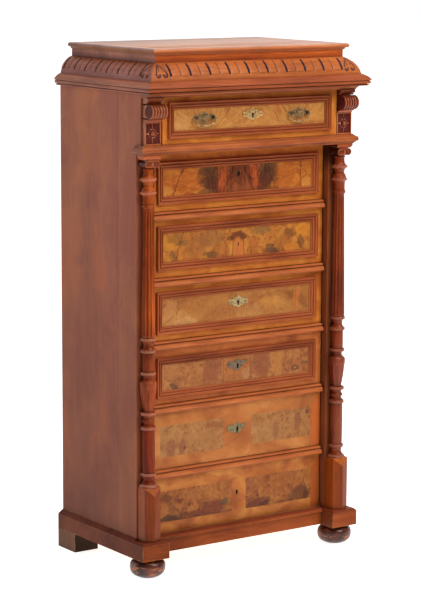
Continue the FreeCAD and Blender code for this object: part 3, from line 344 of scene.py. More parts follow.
def brass_material(name, bright, deep):
    """Old brass: bright where it is rubbed, dark in the hollows and in patches."""
    s = Shade(name)
    worn = s.times(s.step(s.crevice(0.003), 0.35, 0.95), s.step(s.noise(s.place, 150.0, 4), 0.3, 0.56))
    colour = s.mix(worn, srgb(*deep), srgb(*bright))
    s.set(Base_Color=colour, Metallic=0.6, Roughness=s.minus(0.55, s.times(worn, 0.2)))
    s.bump(s.noise(s.place, 420.0, 3), 0.0004, 0.5)
    return s.material


def keyhole_shade_material(name):
    """Painted shade: the dark inside of a keyhole."""
    s = Shade(name)
    colour = s.ramp(s.noise(s.place, 300.0, 2), (0.3, (0.006, 0.004, 0.003)), (0.7, (0.0096, 0.0064, 0.0048)))
    s.set(Base_Color=colour, Roughness=0.8, Specular_IOR_Level=0.1)
    return s.material


def iron_material(name):
    s = Shade(name)
    colour = s.ramp(s.noise(s.place, 90.0, 5), (0.35, (0.03, 0.028, 0.026)), (0.65, (0.10, 0.07, 0.05)))
    s.set(Base_Color=colour, Metallic=0.7, Roughness=0.6)
    s.bump(s.noise(s.place, 400.0, 4), 0.0004, 0.5)
    return s.material


RED = three((190, 98, 48), (168, 80, 36), (126, 54, 24))
# A tint for sides that face left: painted shade with a cool painted sheen.
LEFT_SHADE_AND_SHEEN = (0.72, 0.86, 1.35)
FULL = (1.0, 1.0, 1.0)
# Painted light on the side panels by height: darker towards the foot, lighter towards the top.
SIDE_PAINTED_LIGHT = ((0.1, (0.58, 0.42, 0.2)), (0.25, (0.66, 0.48, 0.24)), (0.8, (0.92, 0.74, 0.52)),
              (1.4, (1.36, 1.22, 0.88)))
LOOKS = {
    # Left-facing sides painted with shade and a cool sheen.
    "red_x": wood("mahogany_along_x", *RED, "x", left=LEFT_SHADE_AND_SHEEN),
    # Painted shade: near black from a little below the ledge upwards, and darker further left, behind the
    # left column.
    "red_z": wood("mahogany_upright", *three((140, 73, 38), (118, 60, 32), (82, 38, 20)), "z",
                  painted_shade_beyond=(0.33, (0.36, 0.34, 0.36)), heights=((1.12, FULL), (1.172, (0.16, 0.14, 0.14)))),
    # Left-facing sides painted with shade and a cool sheen.
    "red_u": wood("mahogany_turned", *three((200, 119, 66), (177, 95, 48), (132, 62, 32)), "u", gloss=0.34,
                  coat=0.1, left=LEFT_SHADE_AND_SHEEN, dirt_and_shade_amount=0.8, reach=0.006),
    # Left-facing sides painted darker, as shade; rings painted pale, as wear with a painted highlight.
    "column_left": wood("mahogany_column_left", *three((182, 88, 36), (146, 61, 23), (94, 36, 15)), "z",
                        gloss=0.3, coat=0.07, dirt_and_shade_amount=0.85, reach=0.01, left=(0.63, 0.53, 0.44), shine=0.09,
                        painted_light_and_wear_at_mark=srgb(204, 140, 112),
                        heights=((0.43, (0.76, 0.5, 0.3)), (0.46, FULL), (0.64, FULL),
                                 (0.68, (1.25, 1.28, 0.95)))),
    # The right column is a darker copy of the left one, painted as shade; its left-facing sides darker still,
    # and its rings pale as wear with a painted highlight.
    "column_right": wood("mahogany_column_right_painted_shade", *three((154, 71, 30), (123, 50, 20), (80, 29, 14)), "z",
                         gloss=0.3, coat=0.2, dirt_and_shade_amount=0.85, reach=0.01, left=(0.85, 0.66, 0.5),
                         painted_light_and_wear_at_mark=srgb(170, 110, 86), heights=((0.43, (0.8, 0.8, 0.7)), (0.46, FULL))),
    # Up-facing and right-facing faces painted much lighter and cooler, as painted highlight and sheen.
    "pedestal": wood("mahogany_pedestal", *three((141, 63, 18), (119, 49, 12), (85, 33, 9)), "z", coat=0.0,
                     left=(1.25, 1.35, 1.2),
                     faces=((2, 1, 0.2, 0.5, (2.0, 2.6, 3.4)), (0, 1, 0.4, 0.8, (2.0, 2.6, 2.2)))),
    # Left-facing sides and up-facing bevels painted darker, as shade.
    "plinth": wood("mahogany_plinth", *three((152, 76, 37), (130, 61, 28), (93, 41, 20)), "x", coat=0.0,
                   left=(0.5, 0.5, 0.62), shine=0.06, faces=((2, 1, 0.4, 0.8, (0.8, 0.7, 0.95)),),
                   wear=(0.004, srgb(190, 124, 66))),
    # Left-facing flanks painted lighter and cooler, as painted light; inward faces on the right, the roll's
    # grooves and the sunken ground painted dark, as shade.
    "carving": wood("mahogany_carved", *three((204, 116, 70), (172, 86, 48), (112, 48, 28)), "u", dirt_and_shade_amount=0.9,
                    painted_light_and_wear_at_mark=srgb(84, 26, 26), reach=0.005, coat=0.4, gloss=0.28, left=(0.95, 1.3, 1.6),
                    recess_shade=(0.4, 0.24, 0.16)),
    # Inward faces on the right and the volutes' cushions painted dark, as shade.
    "capital": wood("mahogany_capital", *three((204, 112, 66), (176, 86, 46), (120, 52, 28)), "u", dirt_and_shade_amount=0.9,
                    painted_light_and_wear_at_mark=srgb(60, 26, 16), reach=0.005, coat=0.1, recess_shade=(0.14, 0.12, 0.12)),
    # Left-facing sides painted lighter and cooler, as a painted sheen.
    "cornice": wood("mahogany_cornice", *three((180, 92, 52), (152, 74, 38), (112, 50, 26)), "u", dirt_and_shade_amount=0.9,
                    reach=0.006, left=(1.25, 1.85, 3.4)),
    # Left-facing sides painted with a cool sheen; painted light by height, darker at its foot and much
    # lighter towards its top.
    "frieze": wood("mahogany_frieze", *three((190, 92, 38), (168, 76, 28), (126, 50, 20)), "x", dirt_and_shade_amount=0.7,
                   left=(0.95, 1.62, 5.4), heights=((1.462, (0.6, 0.5, 0.5)), (1.466, (1.1, 1.1, 1.0)),
                                                    (1.473, (1.25, 1.3, 1.2)), (1.478, (1.6, 1.8, 1.8)))),
    "reeding": wood("mahogany_reeding", *three((188, 102, 58), (168, 84, 44), (126, 56, 28)), "u", dirt_and_shade_amount=0.75,
                    reach=0.005, fine=120.0, gloss=0.34),
    "foot": foot_material("mahogany_foot"),
    # Front-facing faces painted dark, as shade.
    "rear_foot": wood("foot_rear", *three((122, 78, 52), (102, 64, 42), (72, 44, 30)), "z", gloss=0.6,
                      coat=0.0, faces=((1, -1, 0.3, 0.8, (0.2, 0.26, 0.3)),),
                      wear=(0.005, srgb(150, 110, 78))),
    # Cuts painted dark, as shade; left-facing sides painted with a cool sheen.
    "gadroon": wood("mahogany_gadroon", *three((194, 113, 58), (170, 90, 40), (138, 67, 30)), "u",
                    painted_light_and_wear_at_mark=srgb(40, 34, 52), left=(0.94, 1.18, 3.6)),
    # The side panels, darker towards the foot as painted shade.
    "side": side_material("side_wood_worn_painted_light", *three((170, 106, 80), (158, 95, 70), (140, 84, 62)), SIDE_PAINTED_LIGHT),
    # Left-facing sides painted with shade and a cool sheen.
    "top": wood("top_wood_worn", *three((212, 168, 144), (194, 146, 122), (168, 120, 98)), "x", gloss=0.45,
                coat=0.1, dirt_and_shade_amount=0.2, heights=((1.497, (0.98, 0.53, 0.24)), (1.4992, FULL)),
                left=(0.72, 0.98, 1.5)),
    "inner": wood("inner_wood_bare", *three((206, 166, 120), (184, 142, 98), (150, 110, 74)), "x", gloss=0.7,
                  coat=0.0, drift=0.25, contrast=0.8),
    "brass": brass_material("brass_olive", (176, 144, 98), (82, 60, 42)),
    "brass_dark": brass_material("brass_dark", (70, 68, 54), (30, 32, 28)),
    "brass_pale": brass_material("brass_pale", (220, 180, 118), (140, 108, 62)),
    "brass_silver": brass_material("brass_silver", (196, 170, 118), (112, 96, 66)),
    "pewter": brass_material("brass_pewter", (126, 104, 82), (84, 70, 54)),
    "brass_green": brass_material("brass_green", (132, 116, 78), (78, 70, 48)),
    # Painted shade: the dark sheets inside the keyholes.
    "hollow": keyhole_shade_material("keyhole_painted_shade"),
    "iron": iron_material("iron_dull"),
}


# ---------------------------------------------------------------- veneered drawer fronts, in millimetres


def blob(s, x, z, centre_x, centre_z, wide, tall):
    """1 in an oval patch, falling softly to 0 at its edge."""
    across = s.over(s.minus(x, centre_x), wide)
    up = s.over(s.minus(z, centre_z), tall)
    return s.rest(s.step(s.plus(s.times(across, across), s.times(up, up)), 0.1, 1.9))


def window(s, x, z, left, right, foot, top, soft):
    """1 inside a rectangle."""
    across = s.minus(s.apart(x, (left + right) / 2), (right - left) / 2)
    up = s.minus(s.apart(z, (foot + top) / 2), (top - foot) / 2)
    return s.rest(s.step(s.math("MAXIMUM", across, up), -soft, soft))


def crack(s, x, z, at_x, foot, top, lean, wobble, width):
    """1 along a jagged line that runs up the front from foot to top."""
    jag = s.noise(s.join(at_x, 0.0, s.times(z, 0.06)), 1.0, 4, 0.7)
    centre = s.plus(s.plus(at_x, s.times(s.minus(z, foot), lean)), s.swing(jag, wobble))
    line = s.rest(s.step(s.apart(x, centre), width * 0.4, width))
    return s.times(line, window(s, x, z, at_x - 200, at_x + 200, foot, top, 4.0))


def burr_tone(s):
    """A tight curly figure."""
    curl = s.warp(s.place, 22.0, 0.03, 3.0)
    swirl = s.noise(curl, 26.0, 5, 0.62, 1.2)
    return s.plus(s.times(swirl, 0.8), s.times(s.step(s.cells(curl, 70.0), 0.12, 0.42), 0.14))


def fan_tone(s, x, z, from_x, from_z):
    """Long flames that spread from two points, the same left and right."""
    across = s.minus(s.math("ABSOLUTE", x), from_x)
    up = s.minus(z, from_z)
    far = s.math("SQRT", s.plus(s.times(across, across), s.times(up, up)))
    angle = s.math("ARCTAN2", up, across)
    spot = s.join(s.times(angle, 7.0), s.times(far, 0.012), s.times(s.math("SIGN", x), 3.0))
    return s.noise(spot, 1.6, 5, 0.6, 0.6)


def streak_tone(s, stretch, scale):
    return s.noise(s.warp(s.place, 4.0, 0.05), scale, 5, 0.6, 0.5, stretch)


def toned(s, tone, woods):
    pale, middle, dark = three(*woods)
    return s.ramp(tone, (0.33, dark), (0.5, middle), (0.66, pale))


def veneer(name, border, field, panes, figure, shade, marks, cracks, fan=None, edge=None, strands=0.0,
           seam=0.6):
    """A drawer front: a cross-banded border, panes of figured veneer, patches and cracks.

    border and field hold pale, middle and dark; a pane is (left, right, foot, top).  A mark is (x, z, half
    width, half height, colour, strength), with finely broken edges where the strength is below 0.  A crack
    is (x, foot, top, lean, wobble, width, colour, strength).  fan is where flames spread from, edge is the
    (colour, strength, mitre height) of the right-hand end, and strands the half width of fine upright hairs.
    """
    s = Shade(name)
    in_mm = (1 / MM, 1 / MM, 1 / MM)
    x, _, z = s.split(s.vector("MULTIPLY", s.place, in_mm))
    ragged = s.warp(s.place, 38.0, 0.026, 5.0)
    ragged_x, _, ragged_z = s.split(s.vector("MULTIPLY", ragged, in_mm))
    drift = s.swing(s.noise(s.place, 7.0, 2), 0.36)
    colour = toned(s, s.plus(streak_tone(s, (0.5, 1, 0.7), 20.0), drift), border)
    if edge:
        darker, strength, mitre = edge
        slant = s.math("MAXIMUM", s.times(s.minus(z, mitre), 0.9), 0.0)
        colour = s.mix(s.times(s.step(s.minus(x, slant), 271.0, 273.0), strength), colour, srgb(*darker))
    if figure == "burr":
        tone = burr_tone(s)
    elif figure == "fan":
        tone = fan_tone(s, ragged_x, ragged_z, *fan)
    else:
        tone = streak_tone(s, (0.35, 1, 1), 18.0)
    inlay = toned(s, s.plus(tone, s.times(drift, 0.5)), field)
    cloud = s.noise(s.place, 55.0, 5, 0.7, 0.8)
    for *spot, tint, strength in marks:
        mask = blob(s, ragged_x, ragged_z, *spot)
        broken = s.plus(mask, s.swing(cloud, 1.5 if strength > 0 else 3.2))
        mask = s.times(s.step(broken, 0.25, 0.95), s.step(mask, 0.0, 0.3))
        inlay = s.mix(s.times(mask, abs(strength) * 0.85), inlay, srgb(*tint))
    for *line, tint, strength in cracks:
        inlay = s.mix(s.times(crack(s, x, z, *line), strength), inlay, srgb(*tint))
    inside = window(s, x, z, *panes[0], seam)
    for pane in panes[1:]:
        inside = s.math("MAXIMUM", inside, window(s, x, z, *pane, seam))
    speck = s.noise(s.warp(s.place, 60.0, 0.01), 170.0, 4, 0.7)
    inlay = s.dyed(inlay, s.ramp(s.blend(speck, cloud, 0.45), (0.34, 0.72), (0.5, 0.98), (0.64, 1.16)))
    if strands:
        hair = s.noise(s.vector("MULTIPLY", ragged, (1, 1, 0.16)), 150.0, 4, 0.7)
        hair = s.ramp(hair, (0.38, 0.5), (0.5, 1.0), (0.64, 1.25))
        near = s.rest(s.step(s.math("ABSOLUTE", ragged_x), strands - 20.0, strands + 20.0))
        inlay = s.tinted(near, inlay, hair)
    colour = s.mix(inside, colour, s.dyed(inlay, shade))
    # Soiling and painted shade in the corners.
    colour = s.with_corner_dirt_and_shade(colour, 0.005, 0.25, (0.05, 0.02, 0.01))
    fine = s.noise(s.place, 240.0, 3, stretch=(0.2, 1, 1))
    s.set(Base_Color=colour, Roughness=s.plus(0.36, s.times(fine, 0.14)), Specular_IOR_Level=0.13,
          Coat_Weight=0.05, Coat_Roughness=0.15)
    s.bump(fine, 0.0003, 0.3)
    return s.material


def both(x, *rest):
    """The same mark on the left and right."""
    return [(x, *rest), (-x, *rest)]


def leaning(x, foot, top, lean, *rest):
    """The same crack on the left and right, leaning the other way."""
    return [(x, foot, top, lean, *rest), (-x, foot, top, -lean, *rest)]


GOLD = ((212, 134, 54), (196, 112, 42), (170, 88, 32))
CROTCH = [
    *both(96, 1136, 30, 34, (118, 72, 48), 1.0), *both(112, 1148, 30, 18, (100, 76, 50), 0.9),
    *both(92, 1104, 26, 24, (112, 54, 40), 0.9), *both(78, 1088, 26, 12, (110, 54, 40), 0.9),
    *both(124, 1126, 18, 30, (112, 70, 40), -0.9), *both(100, 1120, 26, 34, (84, 50, 38), -0.8),
    *both(116, 1086, 30, 8, (124, 88, 50), -0.8),
]
FRONTS = {
    1: dict(
        border=GOLD, field=((206, 148, 86), (192, 132, 72), (172, 110, 58)), panes=[(-270, 270, 1260, 1342)],
        figure="fan", fan=(150.0, 1262.0), shade=(0.92, 0.86, 0.72),
        marks=[(-238, 1290, 30, 20, (206, 150, 96), 0.6), (-84, 1318, 12, 22, (168, 100, 54), 0.7),
               (92, 1312, 10, 30, (166, 92, 52), 0.7), (60, 1290, 50, 26, (196, 132, 74), 0.5),
               (232, 1300, 26, 26, (204, 140, 74), 0.6)],
        cracks=[(-96, 1300, 1332, 0.7, 6, 1.6, (132, 74, 40), 0.7),
                (96, 1282, 1326, -0.5, 8, 1.8, (126, 62, 40), 0.7),
                (160, 1296, 1330, 0.8, 6, 1.2, (150, 84, 44), 0.6)]),
    2: dict(
        border=GOLD, field=((214, 144, 66), (194, 118, 50), (162, 82, 36)), panes=[(-264, 264, 1076, 1164)],
        figure="fan", fan=(20.0, 1122.0), shade=(0.84, 0.72, 0.56), strands=120.0,
        marks=[(0, 1122, 150, 90, (172, 88, 42), 0.8), (0, 1110, 66, 60, (136, 68, 38), 0.9),
               (0, 1150, 40, 20, (120, 62, 38), 0.8), (0, 1098, 50, 22, (146, 82, 50), -0.9),
               (0, 1130, 40, 30, (104, 52, 34), -0.7), *CROTCH,
               *both(56, 1140, 12, 26, (190, 92, 52), 0.9), *both(60, 1108, 9, 26, (184, 88, 50), 0.8),
               *both(250, 1096, 22, 16, (218, 160, 84), 0.6), *both(250, 1150, 22, 20, (196, 124, 52), 0.5),
               *both(170, 1120, 30, 40, (186, 104, 48), 0.6)],
        cracks=[*leaning(-52, 1082, 1130, 0.35, 26, 3.0, (84, 40, 30), 0.8),
                *leaning(-34, 1120, 1156, 0.5, 26, 2.6, (90, 42, 32), 0.7),
                *leaning(-74, 1082, 1156, 0.15, 30, 2.4, (84, 44, 34), 0.7),
                (-226, 1082, 1156, 0.42, 26, 2.2, (110, 50, 36), 0.9),
                (-198, 1142, 1156, 0.6, 8, 3.0, (92, 48, 66), 0.9),
                (222, 1082, 1156, 0.0, 34, 2.2, (120, 60, 36), 0.9),
                (244, 1116, 1156, -0.7, 20, 1.6, (128, 68, 36), 0.7),
                (200, 1130, 1156, -0.5, 16, 1.6, (128, 68, 36), 0.6)]),
    3: dict(
        border=GOLD, field=((214, 152, 72), (190, 122, 58), (146, 88, 46)), panes=[(-264, 264, 888, 982)],
        figure="burr", shade=(0.74, 0.62, 0.48),
        marks=[(-238, 950, 34, 26, (214, 152, 58), 0.8), (-196, 944, 26, 9, (124, 92, 62), 0.75),
               (-228, 908, 12, 16, (130, 92, 60), -0.9), (-150, 930, 40, 30, (170, 112, 62), -0.8),
               (-220, 960, 30, 14, (150, 104, 62), -0.8), (-92, 952, 50, 26, (152, 104, 66), 0.8),
               (-96, 904, 30, 9, (104, 72, 54), 0.85), (82, 964, 34, 14, (142, 110, 70), 0.85),
               (124, 900, 34, 9, (92, 68, 62), 0.95), (112, 914, 16, 6, (84, 58, 52), 0.8),
               (186, 946, 20, 16, (132, 88, 52), -0.9), (160, 920, 30, 26, (176, 112, 56), -0.8),
               (236, 954, 32, 20, (224, 150, 50), 0.8), (196, 906, 40, 16, (214, 136, 56), 0.7),
               (226, 918, 14, 22, (128, 84, 50), -0.9), (0, 950, 30, 16, (104, 50, 42), 0.95),
               (-30, 946, 12, 8, (110, 60, 46), 0.7), (30, 948, 14, 6, (120, 66, 46), 0.7),
               (0, 915, 19, 34, (212, 128, 72), 1.0), (0, 938, 9, 9, (212, 128, 72), 0.9),
               (-58, 912, 24, 24, (168, 96, 56), 0.6), (52, 914, 22, 26, (176, 100, 56), 0.6)],
        cracks=[(-216, 898, 978, 0.3, 40, 2.4, (116, 74, 48), 0.8),
                *leaning(-22, 888, 944, 0.1, 6, 1.6, (124, 56, 36), 0.8),
                (-44, 888, 936, 0.0, 14, 1.6, (150, 80, 46), 0.6),
                (44, 888, 940, 0.0, 14, 1.6, (150, 80, 46), 0.6),
                (234, 888, 950, -0.5, 24, 2.4, (112, 70, 46), 0.8)]),
    4: dict(
        border=GOLD, field=((200, 142, 84), (182, 120, 66), (152, 92, 52)), panes=[(-264, 264, 702, 794)],
        figure="streaks", shade=(0.8, 0.74, 0.58),
        marks=[(-186, 716, 50, 14, (206, 154, 108), 0.8), (-236, 756, 26, 34, (196, 136, 92), 0.7),
               (-150, 762, 60, 26, (176, 112, 62), 0.6), (-60, 760, 50, 30, (188, 124, 70), 0.5),
               (130, 748, 50, 20, (198, 138, 72), 0.7), (214, 752, 14, 36, (206, 124, 66), 0.8),
               (226, 744, 12, 18, (148, 88, 52), -0.9), (244, 728, 14, 12, (150, 92, 60), 0.7),
               (40, 728, 50, 20, (194, 140, 92), 0.6), (0, 768, 6, 16, (206, 128, 72), 0.7)],
        cracks=[(-212, 738, 786, 0.1, 22, 2.2, (146, 88, 56), 0.8),
                (-262, 712, 734, 1.5, 10, 3.0, (128, 84, 54), 0.8),
                *both(-30, 706, 748, 0.0, 3, 1.4, (158, 84, 52), 0.7),
                (-14, 706, 748, 0.0, 3, 1.4, (168, 92, 58), 0.7),
                (12, 706, 748, 0.0, 3, 1.4, (168, 92, 58), 0.7),
                (206, 712, 790, 0.05, 12, 1.8, (158, 90, 50), 0.7),
                (100, 712, 744, 0.9, 8, 2.0, (164, 96, 50), 0.6)]),
    5: dict(
        border=((196, 114, 56), (180, 98, 46), (152, 76, 36)),
        field=((196, 134, 86), (174, 108, 66), (146, 86, 58)),
        panes=[(-264, 264, 516, 604)], figure="burr", shade=(0.74, 0.7, 0.54),
        marks=[(0, 558, 48, 60, (180, 108, 62), 0.85), (30, 544, 16, 16, (190, 134, 102), 0.9),
               (144, 566, 22, 50, (198, 132, 74), 0.8), (-232, 580, 36, 26, (186, 124, 80), 0.6),
               (-90, 566, 34, 40, (150, 84, 62), -0.8), (84, 566, 36, 40, (148, 84, 62), -0.8),
               (-222, 534, 17, 10, (104, 74, 58), 0.95), (-214, 550, 34, 8, (156, 94, 66), 0.7),
               (208, 541, 15, 12, (110, 70, 54), 0.95), (208, 541, 6, 5, (188, 134, 96), 0.9),
               (243, 554, 12, 7, (118, 92, 76), 0.9), (190, 560, 16, 10, (150, 92, 60), -0.8),
               (-150, 548, 26, 30, (184, 118, 74), 0.6)],
        cracks=[(-50, 518, 600, 0.0, 2, 1.4, (140, 78, 46), 0.8),
                (46, 518, 600, 0.0, 3, 1.6, (136, 74, 52), 0.8)]),
    6: dict(
        border=((190, 122, 62), (174, 102, 48), (150, 82, 38)),
        field=((192, 138, 92), (176, 118, 74), (150, 94, 62)),
        panes=[(-270, -50, 329, 420), (50, 266, 329, 418)], figure="burr", shade=(0.74, 0.69, 0.52),
        edge=((186, 92, 40), 0.8, 420.0), seam=2.4,
        marks=[(-232, 352, 18, 28, (154, 92, 76), 0.8), (-194, 350, 14, 26, (156, 94, 78), 0.8),
               (-185, 347, 5, 5, (110, 62, 46), 0.9), (-100, 360, 46, 30, (176, 122, 80), 0.6),
               (120, 350, 60, 26, (178, 124, 80), 0.7), (76, 400, 30, 12, (168, 104, 60), 0.7),
               (220, 380, 14, 30, (150, 94, 70), -0.9), (140, 356, 10, 26, (152, 98, 78), -0.8),
               (256, 406, 9, 6, (116, 66, 66), 0.95), (-90, 404, 30, 8, (154, 86, 56), -0.8)],
        cracks=[(-266, 396, 420, 1.5, 12, 3.0, (120, 80, 58), 0.7)]),
    7: dict(
        border=((192, 124, 58), (170, 98, 42), (140, 72, 30)),
        field=((184, 118, 68), (162, 94, 54), (118, 64, 42)),
        panes=[(-270, -18, 137, 229), (32, 272, 137, 229)], figure="burr", shade=(0.74, 0.70, 0.46),
        edge=((160, 76, 34), 0.85, 229.0),
        marks=[(-232, 144, 48, 12, (68, 46, 36), 0.9), (-150, 148, 40, 12, (110, 54, 40), -0.95),
               (-90, 158, 46, 22, (118, 58, 46), -0.95), (-44, 168, 13, 11, (96, 78, 62), 0.9),
               (-250, 208, 18, 12, (112, 60, 44), -0.95), (-206, 196, 18, 6, (116, 56, 40), 0.8),
               (-230, 176, 14, 22, (124, 76, 48), 0.7), (80, 150, 46, 16, (108, 54, 46), -0.95),
               (96, 146, 20, 7, (88, 44, 42), 0.85), (230, 158, 44, 22, (112, 66, 46), -0.95),
               (254, 150, 10, 20, (92, 48, 48), 0.85), (52, 196, 12, 34, (158, 96, 74), -0.8),
               (150, 206, 60, 18, (178, 104, 52), 0.6), (-150, 206, 40, 16, (176, 112, 66), 0.6),
               (0, 139, 300, 5, (84, 44, 34), 0.6)],
        cracks=[(-266, 196, 229, 0.8, 16, 3.0, (110, 60, 42), 0.8),
                (262, 140, 200, -0.3, 30, 2.0, (104, 58, 42), 0.8)]),
}
for number, plan in FRONTS.items():
    LOOKS[f"front_{number}"] = veneer(f"front_{number}_veneer", **plan)


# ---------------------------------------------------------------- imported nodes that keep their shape

NODE_LOOKS = {
    "side": ["side_panel_left", "side_panel_right"],
    "rear_foot": ["rear_feet"],
    "top": ["top_board"],
    "red_x": ["drawer_rails", "cornice_moulding", "gadroon_moulding", "bed_moulding", "ledge_moulding",
              "corbels", "capitals", "bun_feet"] + [f"drawer_{number}_moulding" for number in range(1, 6)],
    "frieze": ["frieze"],
    "red_z": ["front_stiles"],
    "pedestal": ["pedestal_left", "pedestal_right"],
    "column_left": ["column_left"],
    "column_right": ["column_right"],
    "plinth": ["plinth_frame"],
    "inner": ["back_panel", "bottom_board", "top_panel", "drawer_runners"]
             + [f"drawer_{number}_box" for number in FRONTS],
    "iron": [f"drawer_{number}_lock" for number in FRONTS],
    "brass": ["drawer_1_escutcheon", "drawer_4_escutcheon", "drawer_5_escutcheon", "drawer_6_escutcheon",
              "handle_plate_left", "handle_plate_right", "bail_left", "bail_right"],
    **{f"front_{number}": [f"drawer_{number}_front"] for number in FRONTS},
}


for look, members in NODE_LOOKS.items():
    for member in members:
        slots = NODES[member].data.materials
        for index in range(len(slots)):
            slots[index] = LOOKS[look]
        if len(slots) == 0:
            slots.append(LOOKS[look])


# ---------------------------------------------------------------- mesh builders


def link(name, data):
    """A new object in the scene."""
    piece = bpy.data.objects.new(name, data)
    SCENE.collection.objects.link(piece)
    return piece


def make_mesh(name, vertices, faces, uvs, marks, sharp=38.0):
    """An object from vertices and faces, with a (u, v) and a 0 to 1 mark for each vertex."""
    mesh = bpy.data.meshes.new(name)
    mesh.from_pydata([tuple(v) for v in vertices], [], faces)
    mesh.validate()
    layer = mesh.uv_layers.new(name="grain")
    for loop in mesh.loops:
        layer.data[loop.index].uv = uvs[loop.vertex_index]
    attribute = mesh.attributes.new("mark", "FLOAT", "POINT")
    attribute.data.foreach_set("value", marks)
    smooth(mesh, sharp)
    return link(name, mesh)


def smooth(mesh, sharp):
    """Smooth shading, but for edges sharper than an angle in degrees."""
    mesh.shade_smooth()
    mesh.set_sharp_from_angle(angle=math.radians(sharp))


def fit(pieces, name, body, look, node=None):
    """Joins pieces into one, gives it its material and its body, and hides the node it stands for."""
    for other in bpy.context.selected_objects:
        other.select_set(False)
    for piece in pieces:
        piece.select_set(True)
    piece = pieces[0]
    bpy.context.view_layer.objects.active = piece
    if len(pieces) > 1:
        bpy.ops.object.join()
    piece.name = name
    piece.data.name = name
    piece.data.materials.clear()
    piece.data.materials.append(LOOKS[look])
    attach(piece, body)
    if node:
        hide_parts(node)


def mm(*numbers):
    """Millimetres turned into metres."""
    return tuple(number * MM for number in numbers)


def scaled(points, outward=0.0, up=0.0):
    """Points given in millimetres, turned into metres and moved."""
    return [(a * MM + outward, b * MM + up) for a, b in points]


def bowed(start, end, bulge, count=6):
    """Points after the start on a curve to the end, bulging by a share of its length to its left."""
    across = (start[1] - end[1], end[0] - start[0])
    points = []
    for index in range(1, count + 1):
        t = index / count
        lift = 4 * bulge * t * (1 - t)
        points.append((start[0] + (end[0] - start[0]) * t + across[0] * lift,
                       start[1] + (end[1] - start[1]) * t + across[1] * lift))
    return points


def grid_faces(rows, columns, closed=False):
    """Faces between rows of points, round to the first column where closed."""
    faces = []
    for row in range(rows - 1):
        for column in range(columns if closed else columns - 1):
            here = row * columns + column
            beside = row * columns + (column + 1) % columns
            faces.append((here, beside, beside + columns, here + columns))
    return faces


def capped_faces(rows, sides):
    """Faces of a closed grid with an end at its first and last row."""
    last = (rows - 1) * sides
    return grid_faces(rows, sides, True) + [tuple(range(sides - 1, -1, -1)), tuple(range(last, last + sides))]


def lathe(name, profile, centre=(0, 0, 0), sides=96, shape=None, flat_at=None, seed=0.0, mark_of=None):
    """Turns (radius, height) points about an upright axis.

    shape(radius, height, angle) may change a radius.  The angle is 0 at the front.  flat_at cuts the
    turning off flat at that distance behind the axis.  mark_of takes what shape does.
    """
    vertices, uvs, marks = [], [], []
    for radius, height in profile:
        for side in range(sides):
            angle = TAU * side / sides
            reach = shape(radius, height, angle) if shape else radius
            x, y = reach * math.sin(angle), -reach * math.cos(angle)
            if flat_at is not None:
                y = min(y, flat_at)
            vertices.append((centre[0] + x, centre[1] + y, centre[2] + height))
            uvs.append((height + seed, abs(angle - math.pi) * 0.02 + seed * 3))
            marks.append(mark_of(radius, height, angle) if mark_of else 0.0)
    return make_mesh(name, vertices, capped_faces(len(profile), sides), uvs, marks)


def sweep(name, profile, path, step=0.1, carve=None, seed=0.0):
    """A moulding along a plan of right-angled legs, mitred where they meet.

    profile holds (outward, height) points and path holds plan corners, walked with the outside on the
    right.  carve(leg, spot, share) gives an inward depth and a mark, share being how far up the profile.
    """
    corners = [Vector(corner) for corner in path]
    closed = corners[0] == corners[-1]
    normals = []
    for start, end in zip(corners, corners[1:]):
        run = (end - start).normalized()
        normals.append(Vector((run.y, -run.x)))
    legs = len(normals)
    total = len(profile)
    tangents = []
    girth = [0.0]
    for index in range(total):
        before, after = profile[max(index - 1, 0)], profile[min(index + 1, total - 1)]
        tangents.append(Vector((after[0] - before[0], after[1] - before[1])).normalized())
    for before, after in zip(profile, profile[1:]):
        girth.append(girth[-1] + math.hypot(after[0] - before[0], after[1] - before[1]))
    vertices, faces, uvs, marks = [], [], [], []
    travelled = 0.0
    square = Vector((0, 0))
    for leg, normal in enumerate(normals):
        start, end = corners[leg], corners[leg + 1]
        mitre_start = normal + (normals[leg - 1] if leg > 0 or closed else square)
        mitre_end = normal + (normals[(leg + 1) % legs] if leg + 1 < legs or closed else square)
        length = (end - start).length
        count = max(2, int(length / step) + 1)
        base = len(vertices)
        for station in range(count):
            share = station / (count - 1)
            for index, (out, height) in enumerate(profile):
                spot = (start + mitre_start * out).lerp(end + mitre_end * out, share)
                depth, mark = carve(leg, spot, index / (total - 1)) if carve else (0.0, 0.0)
                inward = tangents[index]
                spot = spot - normal * (depth * inward.y)
                vertices.append((spot.x, spot.y, height + depth * inward.x))
                uvs.append((travelled + share * length + seed, girth[index] + seed * 2))
                marks.append(mark)
        faces.extend(tuple(reversed([base + corner for corner in face])) for face in grid_faces(count, total))
        travelled += length
    if not closed:
        faces.append(tuple(range(total)))
        faces.append(tuple(reversed(range(len(vertices) - total, len(vertices)))))
    return make_mesh(name, vertices, faces, uvs, marks, sharp=30.0)


def block(name, low, high, bevel=0.0008, segments=2, seed=0.0):
    """A board with softened edges and its grain along its longest side."""
    mesh = bpy.data.meshes.new(name)
    shape = bmesh.new()
    bmesh.ops.create_cube(shape, size=1.0)
    size = Vector(high) - Vector(low)
    middle = (Vector(high) + Vector(low)) / 2
    for vertex in shape.verts:
        vertex.co = vertex.co * size + middle
    bmesh.ops.bevel(shape, geom=shape.edges[:], offset=bevel, segments=segments, affect="EDGES", profile=0.5)
    shape.to_mesh(mesh)
    shape.free()
    layer = mesh.uv_layers.new(name="grain")
    long_axis = max(range(3), key=lambda axis: size[axis])
    others = [axis for axis in range(3) if axis != long_axis]
    for loop in mesh.loops:
        place = mesh.vertices[loop.vertex_index].co
        layer.data[loop.index].uv = (place[long_axis] + seed, place[others[0]] + place[others[1]] + seed)
    mesh.attributes.new("mark", "FLOAT", "POINT")
    smooth(mesh, 50)
    return link(name, mesh)


